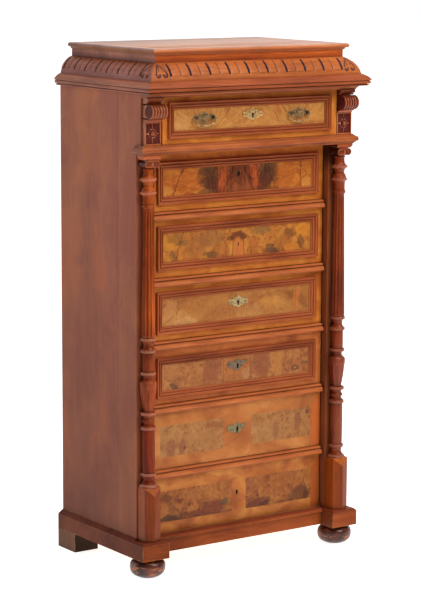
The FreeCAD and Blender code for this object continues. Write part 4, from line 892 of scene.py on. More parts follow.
def tube(name, points, radius, sides=12, closed=False):
    """A round rod along smooth points, with one radius or one for each point."""
    places = [Vector(point) for point in points]
    count = len(places)
    vertices, uvs = [], []
    upward = None
    travelled = 0.0
    for index, place in enumerate(places):
        before = places[index - 1] if index or closed else place
        after = places[(index + 1) % count] if index < count - 1 or closed else place
        along = (after - before).normalized()
        if upward is None:
            upward = Vector((0, 0, 1)) if abs(along.z) < 0.9 else Vector((0, 1, 0))
        side = along.cross(upward).normalized()
        upward = side.cross(along).normalized()
        reach = radius[index] if isinstance(radius, (list, tuple)) else radius
        if index:
            travelled += (place - places[index - 1]).length
        for step in range(sides):
            angle = TAU * step / sides
            vertices.append(place + side * (math.cos(angle) * reach) + upward * (math.sin(angle) * reach))
            uvs.append((travelled, reach * angle))
    if closed:
        last = (count - 1) * sides
        faces = grid_faces(count, sides, closed=True)
        faces += [(last + i, last + (i + 1) % sides, (i + 1) % sides, i) for i in range(sides)]
    else:
        faces = capped_faces(count, sides)
    return make_mesh(name, vertices, faces, uvs, [0.0] * len(vertices))


TO_FRONT = Matrix.Rotation(math.pi / 2, 4, "X")
TO_RIGHT = Matrix.Rotation(math.pi / 2, 4, "Y")


def lay(piece, turn, place):
    """Turns a piece made about the upright axis, and moves it to its place."""
    piece.data.transform(Matrix.Translation(Vector(place)) @ turn)
    return piece


def nested(name, low, high, steps, seed, sunk_field_shade):
    """A panel facing the front, from rectangles one inside the other: (inset, y) for each.

    The last number is how dark the innermost field is painted, as shade on the sunken ground.
    """
    vertices, uvs = [], []
    for inset, y in steps:
        for x, z in ((low[0] + inset, low[1] + inset), (high[0] - inset, low[1] + inset),
                     (high[0] - inset, high[1] - inset), (low[0] + inset, high[1] - inset)):
            vertices.append((x, y, z))
            uvs.append((z + seed, x + y))
    faces = grid_faces(len(steps), 4, closed=True)
    field = len(vertices)
    vertices += vertices[-4:]
    uvs += uvs[-4:]
    faces.append((field, field + 1, field + 2, field + 3))
    return make_mesh(name, vertices, faces, uvs, [0.0] * field + [sunk_field_shade] * 4, sharp=20.0)


def prism(name, outline, left, right, seed=0.0):
    """A moulding across the front: (y, z) points from its rear foot, carried from left to right."""
    bevel = 0.0007
    total = len(outline)
    middle_y = sum(y for y, _ in outline) / total
    middle_z = sum(z for _, z in outline) / total
    vertices, uvs = [], []
    for x, inset in ((left, bevel), (left + bevel, 0.0), (right - bevel, 0.0), (right, bevel)):
        for index, (y, z) in enumerate(outline):
            pull = inset / max(math.hypot(y - middle_y, z - middle_z), inset)
            vertices.append((x, y + (middle_y - y) * pull, z + (middle_z - z) * pull))
            uvs.append((x + seed, index * 0.003 + seed))
    faces = [(a, d, c, b) for a, b, c, d in grid_faces(4, total, closed=True)]
    faces += [tuple(range(total)), tuple(reversed(range(3 * total, 4 * total)))]
    return make_mesh(name, vertices, faces, uvs, [0.0] * len(vertices), sharp=32.0)


def ball(name, radius, squash, centre):
    """A boss standing out to the front."""
    profile = []
    for index in range(9):
        angle = math.pi / 2 * index / 8
        profile.append((max(radius * math.cos(angle), radius * 0.02), radius * squash * math.sin(angle)))
    return lay(lathe(name, profile, sides=28), TO_FRONT, centre)


# ---------------------------------------------------------------- columns

RING_TALL = 13.6
RING_OUT = 23.5
VASE_OUT = 24.3
VASE_TALL = 95.0
SHAFT_TALL = 361.9
FLUTES = 12
FLUTE_DEEP = 2.1
FLUTE_END = 7.0
FACETS = 8
COLUMN_AXIS = 15.0


class Turning:
    """Radius and height of a turned column in millimetres, from the pedestal up."""

    def __init__(self):
        self.points = []
        self.level = 0.0

    def rise(self, low, high, tall, bulge, count):
        """A curve from one radius to another."""
        self.points += bowed((low, self.level), (high, self.level + tall), bulge, count)
        self.level += tall

    def ring(self, below, above, flip=False, tall=RING_TALL, out=RING_OUT):
        """A half-round bead between fillets, growing from the lengths beside it."""
        points = [(below, 0)] + bowed((below, 0), (out * 0.86, tall * 0.24), 0.16, 4)
        points += [(out * 0.93, tall * 0.26), (out * 0.93, tall * 0.34), (out * 0.9, tall * 0.37)]
        points += bowed((out * 0.9, tall * 0.37), (out * 0.9, tall * 0.87), -0.16, 7)
        points += [(out * 0.8, tall * 0.89), (out * 0.8, tall * 0.97), (above, tall)]
        points = [(min(radius, out), height) for radius, height in points]
        if flip:
            points = [(radius, tall - height) for radius, height in reversed(points)]
        self.points += [(radius, self.level + height) for radius, height in points]
        self.level += tall

    def at(self, *points):
        """Corners, and curves (start, end, bulge, count), above the level reached."""
        for point in points:
            if len(point) == 2:
                self.points.append((point[0], self.level + point[1]))
            else:
                (low, foot), (high, top), bulge, count = point
                self.points += bowed((low, self.level + foot), (high, self.level + top), bulge, count)


def column_profile():
    """The column's points, and where its vase and its shaft begin."""
    turning = Turning()
    turning.at((17.5, 0.0), (25.0, 0.0), ((25.0, 0.0), (22.0, 8.5), -0.3, 7), (20.0, 9.0), (20.0, 11.0),
               ((20.0, 11.0), (18.0, 29.0), 0.16, 8))
    turning.level = 29.0
    turning.ring(18.0, 18.0)
    turning.rise(18.0, 18.2, 122.0, -0.006, 10)
    turning.ring(18.2, 15.0, True)
    turning.at(((15.0, 0.0), (14.6, 8.5), 0.12, 4), ((16.0, 8.7), (16.0, 17.3), -0.22, 6),
               ((14.6, 17.5), (15.0, 26.0), 0.12, 4))
    turning.level += 26.0
    turning.ring(15.0, 14.2)
    vase_base = turning.level
    widest, shoulder = VASE_TALL * 0.72, VASE_TALL * 0.955
    turning.at(((13.4, 0.0), (VASE_OUT - 0.8, widest), -0.02, 16),
               ((VASE_OUT - 0.8, widest), (17.6, shoulder), -0.2, 12),
               (15.6, VASE_TALL * 0.96), (15.6, VASE_TALL * 0.99), (14.2, VASE_TALL))
    turning.level += VASE_TALL
    turning.rise(14.2, 15.0, 7.0, 0.1, 4)
    turning.ring(15.0, 17.0)
    turning.rise(17.0, 17.0, 52.0, -0.01, 6)
    turning.ring(17.0, 16.0, True)
    turning.rise(16.0, 16.0, 18.0, 0.12, 6)
    turning.ring(16.0, 20.2)
    shaft_base = turning.level
    turning.at((20.2, 0.0))
    turning.rise(20.2, 15.0, SHAFT_TALL, 0.0, 40)
    turning.ring(15.0, 16.6, tall=15.0, out=19.6)
    turning.rise(16.6, 17.6, 24.0, 0.03, 6)
    turning.at((19.5, 2.0), (22.6, 4.0), (24.4, 5.5), (24.4, 8.0), (22.0, 9.0),
               ((20.0, 9.6), (19.6, 14.0), -0.2, 5), ((17.6, 16.0), (17.0, 21.5), -0.25, 5),
               ((14.6, 22.5), (14.4, 30.0), 0.12, 4))
    turning.level += 36.0
    turning.at(((14.4, -6.0), (21.8, 4.5), 0.13, 7), ((21.8, 4.5), (21.2, 12.5), -0.32, 9),
               ((21.2, 12.5), (15.0, 24.0), 0.13, 8), ((15.0, 24.0), (14.6, 35.0), 0.05, 4),
               ((15.6, 35.4), (15.6, 38.6), -0.3, 4), (14.8, 39.0), (16.0, 40.0))
    return turning.points, vase_base, shaft_base


def clamped(value):
    return min(max(value, 0.0), 1.0)


def make_column(name, side):
    low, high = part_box(name)
    profile, vase_base, shaft_base = column_profile()
    stretch = (high.z - low.z) / (profile[-1][1] * MM)

    def shape(radius, height, angle):
        """Facets on the lower vase, and flutes in the shaft."""
        here = height / MM / stretch
        radius = radius / MM
        if vase_base < here < vase_base + VASE_TALL * 0.93:
            round_part = clamped(((here - vase_base) / VASE_TALL - 0.60) / 0.12)
            turn = (angle + math.pi / FACETS) % (TAU / FACETS) - math.pi / FACETS
            flat = radius * math.cos(math.pi / FACETS) ** 0.6 / math.cos(turn)
            radius = min(flat * (1 - round_part) + radius * round_part, VASE_OUT)
        if shaft_base < here < shaft_base + SHAFT_TALL:
            end = min(here - shaft_base, shaft_base + SHAFT_TALL - here)
            open_part = math.sqrt(max(0.0, 1 - max(0.0, 1 - end / FLUTE_END) ** 2))
            turn = ((angle / TAU * FLUTES) % 1.0) * 2 - 1
            hollow = math.sqrt(max(0.0, 1 - (turn / 0.8) ** 2)) if abs(turn) < 0.8 else 0.0
            radius -= FLUTE_DEEP * hollow * open_part
        return radius * MM

    def rubbed(radius, height, angle):
        """Rings are painted pale, as wear and dust with a painted highlight, and the vase's shoulder a
        little, as a painted highlight.
        """
        here = height / MM / stretch
        in_vase = vase_base < here < vase_base + VASE_TALL
        if in_vase and here < vase_base + VASE_TALL * 0.7 or shaft_base < here < shaft_base + SHAFT_TALL:
            return 0.0
        return (0.04 if in_vase else 0.36) * clamped((radius / MM - 19.6) / 2.6)

    centre = ((low.x + high.x) / 2, high.y - COLUMN_AXIS * MM, low.z)
    points = [(radius * MM, height * MM * stretch) for radius, height in profile]
    piece = lathe(name, points, centre, 144, shape, (COLUMN_AXIS - 0.1) * MM, 0.37 * side, rubbed)
    fit([piece], name + "_turned", "carcass", name, name)


for end, side in SIDES.items():
    make_column("column_" + end, side)


# ---------------------------------------------------------------- bun feet


def make_bun_feet():
    low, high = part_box("bun_feet")
    tall = (high.z - low.z) / MM
    out = (high.y - low.y) / 2 / MM
    profile = [(24.0, 0.0), (27.5, 0.5), (29.0, 2.2)]
    profile += bowed((29.0, 2.2), (out, 29.0), -0.2, 12)
    profile += bowed((out, 29.0), (36.0, 51.0), -0.2, 10)
    profile += [(35.0, 51.6), (34.0, 53.0), (35.0, tall)]
    profile = [(min(radius, out) * MM, height * MM) for radius, height in profile]
    feet = []
    for end, side in SIDES.items():
        centre = (side * (high.x - out * MM), (low.y + high.y) / 2, low.z)
        feet.append(lathe("bun_foot_" + end, profile, centre, seed=side * 0.2 + 1.0))
    fit(feet, "bun_feet_turned", "carcass", "foot", "bun_feet")


make_bun_feet()


# ---------------------------------------------------------------- the gadrooned ovolo

SLIT_PITCH_FRONT = 0.066
SLIT_PITCH_SIDE = 0.058
SLIT_HALF = 0.0034
SLIT_DEEP = 0.0042
LINE_HALF = 0.0011
LINE_DEEP = 0.0016
LOBE_RISE = 0.0016
LEAF_FRONT = 0.018
LEAF_SIDE = 0.020
LEAF_AXIS = 0.024


def groove(offset, half, deep):
    """Depth of a round-bottomed cut at an offset from its middle line."""
    share = abs(offset) / half
    return deep * math.sqrt(max(0.0, 1 - share * share)) if share < 1 else 0.0


def leaf_cut(aside, up):
    """Depth of the corner leaf: its edge, its vein, and two rings at its foot."""
    cup = math.hypot(aside - 0.0115, (up - 0.27) * 0.055)
    cut = 0.0
    for offset, half, deep, foot, top in (
            (aside - 0.0185 * (0.95 - up) / 0.65, 0.0015, 0.0022, 0.3, 0.93),
            (aside - 0.0085 * (0.85 - up) / 0.5, 0.0011, 0.0014, 0.42, 0.85),
            (cup - 0.0062, 0.0014, 0.0022, -1.0, 0.31),
            (cup - 0.0024, 0.0010, 0.0014, -1.0, 0.29)):
        if foot < up < top:
            cut += groove(offset, half, deep)
    return cut


def gadroon_carve(crown_half, crown_front):
    """The depth of the cuts, slits in turn with thin lines, and a mark that paints them dark as shade."""
    def carve(leg, spot, up):
        front = leg == 1
        pitch = SLIT_PITCH_FRONT if front else SLIT_PITCH_SIDE
        along = spot.x if front else spot.y - (crown_front + LEAF_AXIS)
        reach = crown_half - abs(along) if front else along + LEAF_AXIS
        fade = clamped((0.93 - up) / 0.05)
        if reach <= (LEAF_FRONT if front else LEAF_SIDE):
            depth = leaf_cut(abs(reach), up) * fade
            return depth, min(1.0, depth / 0.0018)
        inside = clamped((up - 0.17) / 0.07) * fade
        share = along / pitch if front else along / pitch + 0.5
        slit = (share % 1.0 - 0.5) * pitch
        thin = groove(((share + 0.5) % 1.0 - 0.5) * pitch, LINE_HALF, LINE_DEEP) * inside
        depth = groove(slit, SLIT_HALF, SLIT_DEEP) * inside + thin
        depth -= LOBE_RISE * abs(math.sin(math.pi * (share - 0.5) * 2)) ** 0.7 * inside
        # The mark paints shade in the slits, and fainter in the thin lines.
        mark = inside if abs(slit) < SLIT_HALF * 0.92 else 0.0
        return depth, max(mark, 0.55 * thin / LINE_DEEP)
    return carve


def crown_path(reach_x, front_y, rear_y):
    """The plan of a moulding round the left side, the front and the right side."""
    return [(-reach_x, rear_y), (-reach_x, front_y), (reach_x, front_y), (reach_x, rear_y)]


FRIEZE_LOW, FRIEZE_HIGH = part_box("frieze")


def make_gadroon():
    low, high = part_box("gadroon_moulding")
    out = high.x - FRIEZE_HIGH.x
    arc = bowed((out, 0.0), (0.0, high.z - low.z), -0.13, 44)
    profile = [(-0.008, low.z), (out, low.z)] + [(x, low.z + z) for x, z in arc] + [(-0.008, high.z)]
    carve = gadroon_carve(FRIEZE_HIGH.x, FRIEZE_LOW.y)
    total = len(profile)

    def eased(leg, spot, share):
        up = (share * (total - 1) - 1) / (total - 3)
        return carve(leg, spot, up) if 0 < up < 1 else (0.0, 0.0)

    piece = sweep("gadroons", profile, crown_path(FRIEZE_HIGH.x, FRIEZE_LOW.y, high.y), 0.00095, eased)
    fit([piece], "gadroons_carved", "carcass", "gadroon", "gadroon_moulding")


make_gadroon()


# ---------------------------------------------------------------- corbels and capitals

CORBEL_HALF = 27.0
CAPITAL_HALF = 28.0
ROLL_RIBS = 6
ROLL_RADIUS = 19.2
# Direction across and up, and the start and end of each stem round the boss.
STEMS = ((0, 1, 12.4, 27.6), (0, -1, 12.4, 27.6), (1, 0, 12.4, 22.4), (-1, 0, 12.4, 22.4))


def roll_profile(half):
    """The ribbed roll: round beads side by side with deep lines between them."""
    points = []
    pitch = 2 * half / ROLL_RIBS
    for rib in range(ROLL_RIBS):
        start = pitch * rib - half
        points.append((ROLL_RADIUS - 1.6, start + 0.5))
        points += bowed((ROLL_RADIUS, start + 0.9), (ROLL_RADIUS, start + pitch - 0.9), -0.24, 8)
        points.append((ROLL_RADIUS - 1.6, start + pitch - 0.5))
    return points


def roll_groove_shade(radius, height, angle):
    """Painted shade: the roll is dark between its beads and a little darker on them."""
    return 0.9 if radius < ROLL_RADIUS * MM - 0.6 * MM else 0.35


def corbel(name, x, low, high):
    """Sunk block with a boss in a ring, band, ribbed roll and cap, in millimetres."""
    front, rear, foot, top = low.y / MM, high.y / MM, low.z / MM, high.z / MM
    face = front + 34.5
    left, right = x - CORBEL_HALF, x + CORBEL_HALF
    block_top = foot + 64.5
    band_top = foot + 73.5
    cap_foot = top - 16.5
    sunk_to = face + 4.2
    steps = ((0.0, rear), (0.0, face + 0.7), (0.7, face), (3.4, face), (3.9, face + 0.7), (4.4, sunk_to))
    # The sunken ground is painted dark, as shade.
    pieces = [nested(name + "_block", mm(left, foot), mm(right, block_top), scaled(steps), x, 0.95)]
    band = [(rear, block_top), (face - 1.0, block_top), (face - 1.5, block_top + 1.2)]
    band += bowed((face - 1.5, block_top + 1.2), (face - 10.5, block_top + 5.6), -0.18)
    band += [(face - 11.6, block_top + 6.0), (face - 12.5, block_top + 6.8), (face - 12.5, band_top - 0.8),
             (face - 11.8, band_top), (rear, band_top)]
    pieces.append(prism(name + "_band", scaled(band), *mm(left, right), seed=x))
    cap = [(rear, cap_foot), (face - 7.0, cap_foot), (face - 7.6, cap_foot + 1.2)]
    cap += bowed((face - 7.6, cap_foot + 1.2), (face - 14.6, cap_foot + 7.2), -0.2)
    cap += [(face - 16.0, cap_foot + 7.6), (face - 16.5, cap_foot + 8.4), (face - 16.5, top), (rear, top)]
    pieces.append(prism(name + "_cap", scaled(cap), *mm(left, right), seed=x + 1))
    roll_y = face - 17.0
    roll_z = (band_top + cap_foot) / 2
    # The roll's grooves are painted dark, as shade.
    roll = lathe(name + "_roll", scaled(roll_profile(CORBEL_HALF)), sides=72, seed=x, mark_of=roll_groove_shade)
    pieces.append(lay(roll, TO_RIGHT, mm(x, roll_y, roll_z)))
    web = ROLL_RADIUS - 1.4
    web_low, web_high = mm(left + 0.6, roll_y, roll_z - web), mm(right - 0.6, rear, roll_z + web)
    pieces.append(block(name + "_web", web_low, web_high, seed=x))
    middle = (foot + block_top) / 2
    turns = [TAU * (corner + 0.5) / 8 for corner in range(8)]
    ring = [mm(x + 12.6 * math.sin(turn), sunk_to, middle + 12.6 * math.cos(turn)) for turn in turns]
    pieces.append(tube(name + "_ring", ring, 1.5 * MM, 8, True))
    pieces.append(ball(name + "_boss", 7.8 * MM, 1.0, mm(x, sunk_to, middle)))
    for aside, up, start, end in STEMS:
        reaches = [start + (end - start) * t for t in (0.0, 0.35, 0.7, 1.0)]
        spots = [mm(x + aside * reach, sunk_to, middle + up * reach) for reach in reaches]
        pieces.append(tube(f"{name}_stem_{aside}_{up}", spots, mm(2.6, 2.0, 1.5, 1.2), 8))
    return pieces


def volute(name, x, y, z, turn):
    """A scroll seen from the front, with an eye, and a cushion behind it whose face is painted dark as the
    shade in the hollow between its turns.
    """
    rear = 40.0
    radius = 9.6
    profile = [(radius, 0.0)] + bowed((radius, 0.0), (radius, rear - 3.0), 0.05, 8)
    # The cushion is painted dark, as shade between the scroll's turns.
    cushion = lathe(name + "_cushion", scaled(profile), sides=40, seed=x, mark_of=lambda *_: 0.9)
    pieces = [lay(cushion, TO_FRONT, mm(x, y + rear, z))]
    spots, widths = [], []
    count = 54
    for index in range(count + 1):
        share = index / count
        angle = turn * (share * 1.9 * TAU)
        reach = 9.9 - 6.3 * share ** 0.85
        spots.append(mm(x + reach * math.sin(angle), y + 2.6, z + reach * math.cos(angle)))
        widths.append((1.35 - 0.6 * share) * MM)
    pieces.append(tube(name + "_spiral", spots, widths, 8))
    return pieces + [ball(name + "_eye", 2.3 * MM, 0.9, mm(x, y + 3.0, z))]


def capital(name, x, low, high):
    """A small Ionic capital: volutes and an egg under a moulded abacus, in millimetres."""
    front, rear, foot, top = low.y / MM, high.y / MM, low.z / MM, high.z / MM
    abacus_foot = top - 12.0
    half = 23.0
    profile = [(-1.5, abacus_foot), (0.0, abacus_foot)]
    profile += bowed((0.0, abacus_foot + 0.4), (3.4, abacus_foot + 4.4), -0.2)
    profile += [(4.4, abacus_foot + 4.8), (5.0, abacus_foot + 5.6), (5.0, top - 0.6), (4.4, top), (-1.5, top)]
    path = [(x - half, rear), (x - half, front + 5.5), (x + half, front + 5.5), (x + half, rear)]
    pieces = [sweep(name + "_abacus", scaled(profile), scaled(path), 0.02, seed=x)]
    pieces.append(block(name + "_core", mm(x - half + 0.5, front + 6.0, abacus_foot - 0.5),
                        mm(x + half - 0.5, rear, top - 0.2)))
    pieces.append(block(name + "_bell", mm(x - 15.0, front + 4.2, foot + 2.2),
                        mm(x + 15.0, rear, abacus_foot), 0.001))
    scroll_z = foot + 11.4
    apart = 15.3
    for turn in (-1, 1):
        pieces += volute(f"{name}_volute_{turn + 1}", x + turn * apart, front, scroll_z, turn)
    bridge = [mm(x + across, front + 2.8, scroll_z + 9.7 - 0.0035 * (apart ** 2 - across ** 2))
              for across in range(-15, 16, 3)]
    pieces.append(tube(name + "_bridge", bridge, 1.3 * MM, 8))
    pieces.append(ball(name + "_egg", 6.6 * MM, 0.75, mm(x, front + 5.0, foot + 11.0)))
    for turn in (-1, 1):
        husk = [mm(x + turn * (8.6 - 0.2 * (step - 3) ** 2), front + 3.6, foot + 4.5 + step * 2.3)
                for step in range(7)]
        pieces.append(tube(f"{name}_husk_{turn + 1}", husk, 0.8 * MM, 6))
    return pieces


for node, make, look, half in (("corbels", corbel, "carving", CORBEL_HALF),
                               ("capitals", capital, "capital", CAPITAL_HALF)):
    low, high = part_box(node)
    pieces = []
    for end, side in SIDES.items():
        pieces += make(f"{node}_{end}", side * (high.x / MM - half), low, high)
    fit(pieces, node + "_carved", "carcass", look, node)


# ---------------------------------------------------------------- mouldings


def make_cornice():
    """Under the gadroons: a sloped band, a nose, and a plain band between two dark quirks."""
    low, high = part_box("cornice_moulding")
    points = [(20.0, 0.0), (54.4, 0.0), (55.0, 0.8), (55.0, 3.0), (54.4, 3.8), (51.6, 4.0), (51.6, 5.4)]
    points += [(57.6, 5.8), (58.6, 6.6), (59.2, 13.4), (58.6, 14.2), (55.8, 14.4), (55.8, 15.6), (60.2, 15.8)]
    points += bowed((60.2, 15.8), (60.4, 19.2), -0.18, 4)
    points += bowed((59.2, 20.0), (43.4, 32.6), -0.08, 9)
    points += [(42.0, 33.2), (42.0, 34.0), (20.0, 34.0)]
    piece = sweep("cornice", scaled(points, up=low.z), crown_path(FRIEZE_HIGH.x, FRIEZE_LOW.y, high.y))
    fit([piece], "cornice_run", "carcass", "cornice", "cornice_moulding")


def make_bed():
    """A stepped strip across the front, over drawer one."""
    low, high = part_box("bed_moulding")
    points = [(40.0, 0.0), (14.0, 0.0), (12.8, 0.6), (12.6, 3.4), (10.0, 3.8), (9.4, 5.0), (5.0, 5.2)]
    points += bowed((5.0, 5.2), (0.0, 8.4), -0.2, 4)
    points += [(0.0, 11.4), (0.6, 12.0), (40.0, 12.0)]
    piece = prism("bed", scaled(points, low.y, low.z), low.x, high.x)
    fit([piece], "bed_run", "carcass", "red_u", "bed_moulding")


def make_ledge():
    """Between drawers one and two: a step, a broad round and fillets, returned on the sides."""
    low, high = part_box("ledge_moulding")
    points = [(-10.0, 0.0), (1.6, 0.0), (2.4, 0.8), (2.8, 3.6), (6.0, 4.0), (6.6, 4.8), (6.8, 7.2),
              (9.4, 7.6)]
    points += bowed((9.4, 7.6), (12.2, 12.0), -0.2, 5)
    points += bowed((12.2, 12.0), (10.6, 20.6), -0.1)
    points += [(9.6, 21.6), (6.2, 21.8), (5.8, 23.4), (4.8, 24.0), (2.2, 25.0), (1.6, 28.0), (-10.0, 28.0)]
    projection, inner = mm(12.5, 9.5)
    case_x = high.x - projection
    case_y = low.y + projection
    run = sweep("ledge", scaled(points, up=low.z), crown_path(case_x, case_y, high.y))
    core = block("ledge_core", (-case_x + inner, case_y + inner, low.z + 0.0002),
                 (case_x - inner, high.y, high.z - 0.0001))
    fit([run, core], "ledge_run", "carcass", "red_u", "ledge_moulding")


def make_top_board():
    """The top board's edge: a hollow, a fillet and a round up to the worn top."""
    low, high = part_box("top_board")
    points = [(-20.0, 0.0), (3.4, 0.0)] + bowed((3.4, 0.6), (10.6, 6.6), 0.2)
    points += [(11.8, 6.8), (12.2, 8.2), (13.4, 8.6)] + bowed((13.4, 8.6), (9.8, 17.2), -0.2, 8)
    points += [(8.8, 18.0), (-20.0, 18.0)]
    x, y = FRIEZE_HIGH.x, FRIEZE_LOW.y
    inner = 20.0 * MM
    run = sweep("top", scaled(points, up=low.z), crown_path(x, y, high.y))
    field = block("top_field", (-x + inner, y + inner, low.z), (x - inner, high.y, high.z), 0.00001, 1)
    fit([run, field], "top_edge", "carcass", "top", "top_board")


RAIL_HALF_LENGTH = 301
RAIL_FACE = -141.5
RAIL_TALL = 25.0
LEDGE_RAIL_TALL = 0.028


def make_rails():
    """The dividers between the drawers: a round nose, a groove and a small bead on top."""
    low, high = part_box("drawer_rails")
    points = [(-72.5, 0.0), (-2.0, 0.0), (0.0, 0.8)] + bowed((0.0, 0.8), (1.2, 15.2), -0.42, 10)
    points += [(-1.4, 15.6), (-3.0, 16.4), (-3.0, 17.4), (-1.6, 18.0)]
    points += bowed((-1.6, 18.0), (-1.8, 23.4), -0.4) + [(-4.0, 24.4), (-72.5, RAIL_TALL)]
    points = [(x, z - RAIL_TALL / 2) for x, z in points]
    path = scaled([(-RAIL_HALF_LENGTH, RAIL_FACE), (RAIL_HALF_LENGTH, RAIL_FACE)])
    pieces = []
    for number in range(2, 7):
        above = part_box(f"drawer_{number}_front")[0].z
        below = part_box(f"drawer_{number + 1}_front")[1].z
        pieces.append(sweep(f"rail_{number}", scaled(points, up=(above + below) / 2), path))
    pieces.append(block("rail_board", (low.x, low.y, high.z - LEDGE_RAIL_TALL), high, 0.001))
    fit(pieces, "rails_moulded", "carcass", "red_u", "drawer_rails")


MOULDING_DROP = 7.0
DRAWN_BREADTH = 24.0
# Inset on the left, inset on the right and breadth, for each drawer.
MOULDING_FITS = {1: (0.5, 8.0, 20.0), 2: (4.5, 4.5, 22.0), 3: (4.0, 4.0, 22.5), 4: (1.5, 8.0, 21.5),
                 5: (2.0, 8.0, 21.5)}


def make_panel_moulding(number):
    """A mitred frame of three reeds on a drawer front."""
    inset_left, inset_right, breadth = MOULDING_FITS[number]
    low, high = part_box(f"drawer_{number}_moulding")
    points = [(0.0, 0.0), (0.0, 2.0)] + bowed((0.2, 2.4), (4.6, 4.6), -0.34)
    points += [(5.4, 2.2), (6.6, 2.2)] + bowed((7.2, 4.4), (12.8, 7.6), -0.3, 7)
    points += [(13.8, 4.6), (15.2, 4.6)] + bowed((15.8, 7.2), (23.2, 9.8), -0.3, 8)
    points += [(DRAWN_BREADTH, 7.6), (DRAWN_BREADTH, 0.0)]
    points = [(out * breadth / DRAWN_BREADTH, rise) for out, rise in points]
    width = breadth * MM
    drop = 0.0 if number == 1 else MOULDING_DROP * MM
    left, right = low.x + width + inset_left * MM, high.x - width - inset_right * MM
    foot, top = low.z + width, high.z - width - drop
    path = [(left, foot), (right, foot), (right, top), (left, top), (left, foot)]
    piece = sweep(f"moulding_{number}", scaled(points), path, 0.2, seed=number * 0.71)
    lay(piece, TO_FRONT, (0.0, high.y, 0.0))
    fit([piece], f"drawer_{number}_reeding", f"drawer_{number}", "reeding",
        f"drawer_{number}_moulding")


make_cornice()
make_bed()
make_ledge()
make_rails()
make_top_board()
for number in MOULDING_FITS:
    make_panel_moulding(number)


# ---------------------------------------------------------------- brassware, in millimetres

PLATE = 1.5
KEYHOLE_ROUND = 3.2
KEYHOLE_SLOT = 2.2
KEYHOLE_FOOT = -10.6
HAIR = 0.0002


def solid_outline(name, loops, depth, face_y, bevel):
    """A flat plate that faces the front, in metres: (x, z) loops, the first outside and the others holes."""
    curve = bpy.data.curves.new(name, "CURVE")
    curve.dimensions = "2D"
    curve.fill_mode = "BOTH"
    curve.extrude = max(depth / 2 - bevel, 0.0001)
    curve.bevel_depth = bevel
    curve.bevel_resolution = 2
    curve.offset = -bevel
    for loop in loops:
        spline = curve.splines.new("POLY")
        spline.points.add(len(loop) - 1)
        for point, (x, z) in zip(spline.points, loop):
            point.co = (x, z, 0, 1)
        spline.use_cyclic_u = True
    holder = link(name + "_curve", curve)
    bpy.context.view_layer.update()
    graph = bpy.context.evaluated_depsgraph_get()
    mesh = bpy.data.meshes.new_from_object(holder.evaluated_get(graph))
    bpy.data.objects.remove(holder)
    bpy.data.curves.remove(curve)
    for vertex in mesh.vertices:
        x, z, out = vertex.co
        vertex.co = (x, face_y - depth / 2 - out, z)
    mesh.flip_normals()
    smooth(mesh, 40)
    return link(name, mesh)


def mirrored(right_side):
    """The corners of a whole outline, the same left and right."""
    return list(right_side) + [(-x, z) for x, z in reversed(right_side) if x > 0.01]


def scalloped(corners, bulge=-0.16):
    """A whole outline with a small curve between its corners."""
    corners = list(corners)
    outline = []
    for start, end in zip(corners, corners[1:] + corners[:1]):
        outline += bowed(start, end, bulge, 5)
    return outline


def oval(x, z, wide, tall, turn=0.0, count=14):
    """A hole's outline, walked round an ellipse that may be turned by an angle in degrees."""
    tilt = math.radians(turn)
    points = []
    for index in range(count):
        angle = TAU * index / count
        a, b = wide * math.cos(angle), tall * math.sin(angle)
        points.append((x + a * math.cos(tilt) - b * math.sin(tilt),
                       z + a * math.sin(tilt) + b * math.cos(tilt)))
    return points


def both_sides(holes):
    return holes + [[(-x, z) for x, z in hole] for hole in holes]


def keyhole(grow=0.0):
    """The outline of a keyhole, its round head at the origin."""
    head, slot, foot = KEYHOLE_ROUND + grow, KEYHOLE_SLOT + grow, KEYHOLE_FOOT - grow
    points = []
    for index in range(13):
        angle = 0.62 * math.pi * (index / 12 * 2 - 1)
        points.append((head * math.sin(angle), head * math.cos(angle)))
    return points + [(slot, foot), (-slot, foot)]


def front_plate(name, loops, x, face, z, thickness=PLATE, bevel=0.5):
    """A flat plate on a face that looks towards -Y."""
    return solid_outline(name, [scaled(loop, x, z) for loop in loops], thickness * MM, face, bevel * MM)


def rim(name, outline, x, y, z, radius, closed=True):
    """A thin raised line on a plate."""
    return tube(name, [(x + a * MM, y, z + b * MM) for a, b in outline], radius * MM, 8, closed)


def keyhole_shade_plate(name, body, outline, x, face, z):
    """Painted shade: a dark sheet for the inside of a keyhole, a hair proud of the front."""
    fit([front_plate(name, [outline], x, face + HAIR, z, 0.3, 0.05)], name, body, "hollow")


# Distance from the middle and height, as shares of the radius.
ROSETTE_STEPS = ((1.0, 0.0), (0.98, 0.28), (0.8, 0.42), (0.62, 0.3), (0.5, 0.34), (0.4, 0.62), (0.2, 0.74),
                 (0.02, 0.76))


def rosette(name, radius, petals, x, y, z):
    """A turned flower, waved by its petals."""
    def petal(reach, height, angle):
        return reach * (1 + 0.1 * math.cos(petals * angle))

    profile = [(radius * out * MM, radius * up * MM) for out, up in ROSETTE_STEPS]
    return lay(lathe(name, profile, sides=48, shape=petal), TO_FRONT, (x, y, z))


HANDLE_EDGE = ((0.0, -19.6), (7.0, -18.8), (13.6, -15.6), (19.4, -11.4), (25.4, -7.6), (31.6, -5.6),
               (36.0, 0.0), (32.0, 5.4), (25.8, 5.6), (21.0, 7.4), (15.6, 8.0), (11.0, 11.4), (5.4, 11.8),
               (2.6, 14.0), (0.0, 15.4))
# Angle in degrees, distance and half length of each slot that fans out from the rosette.
HANDLE_SLOTS = ((-72, 12.6, 3.6), (-46, 13.0, 3.8), (-22, 14.6, 4.2), (4, 15.8, 4.4), (38, 11.4, 3.0),
                (68, 10.6, 2.4))


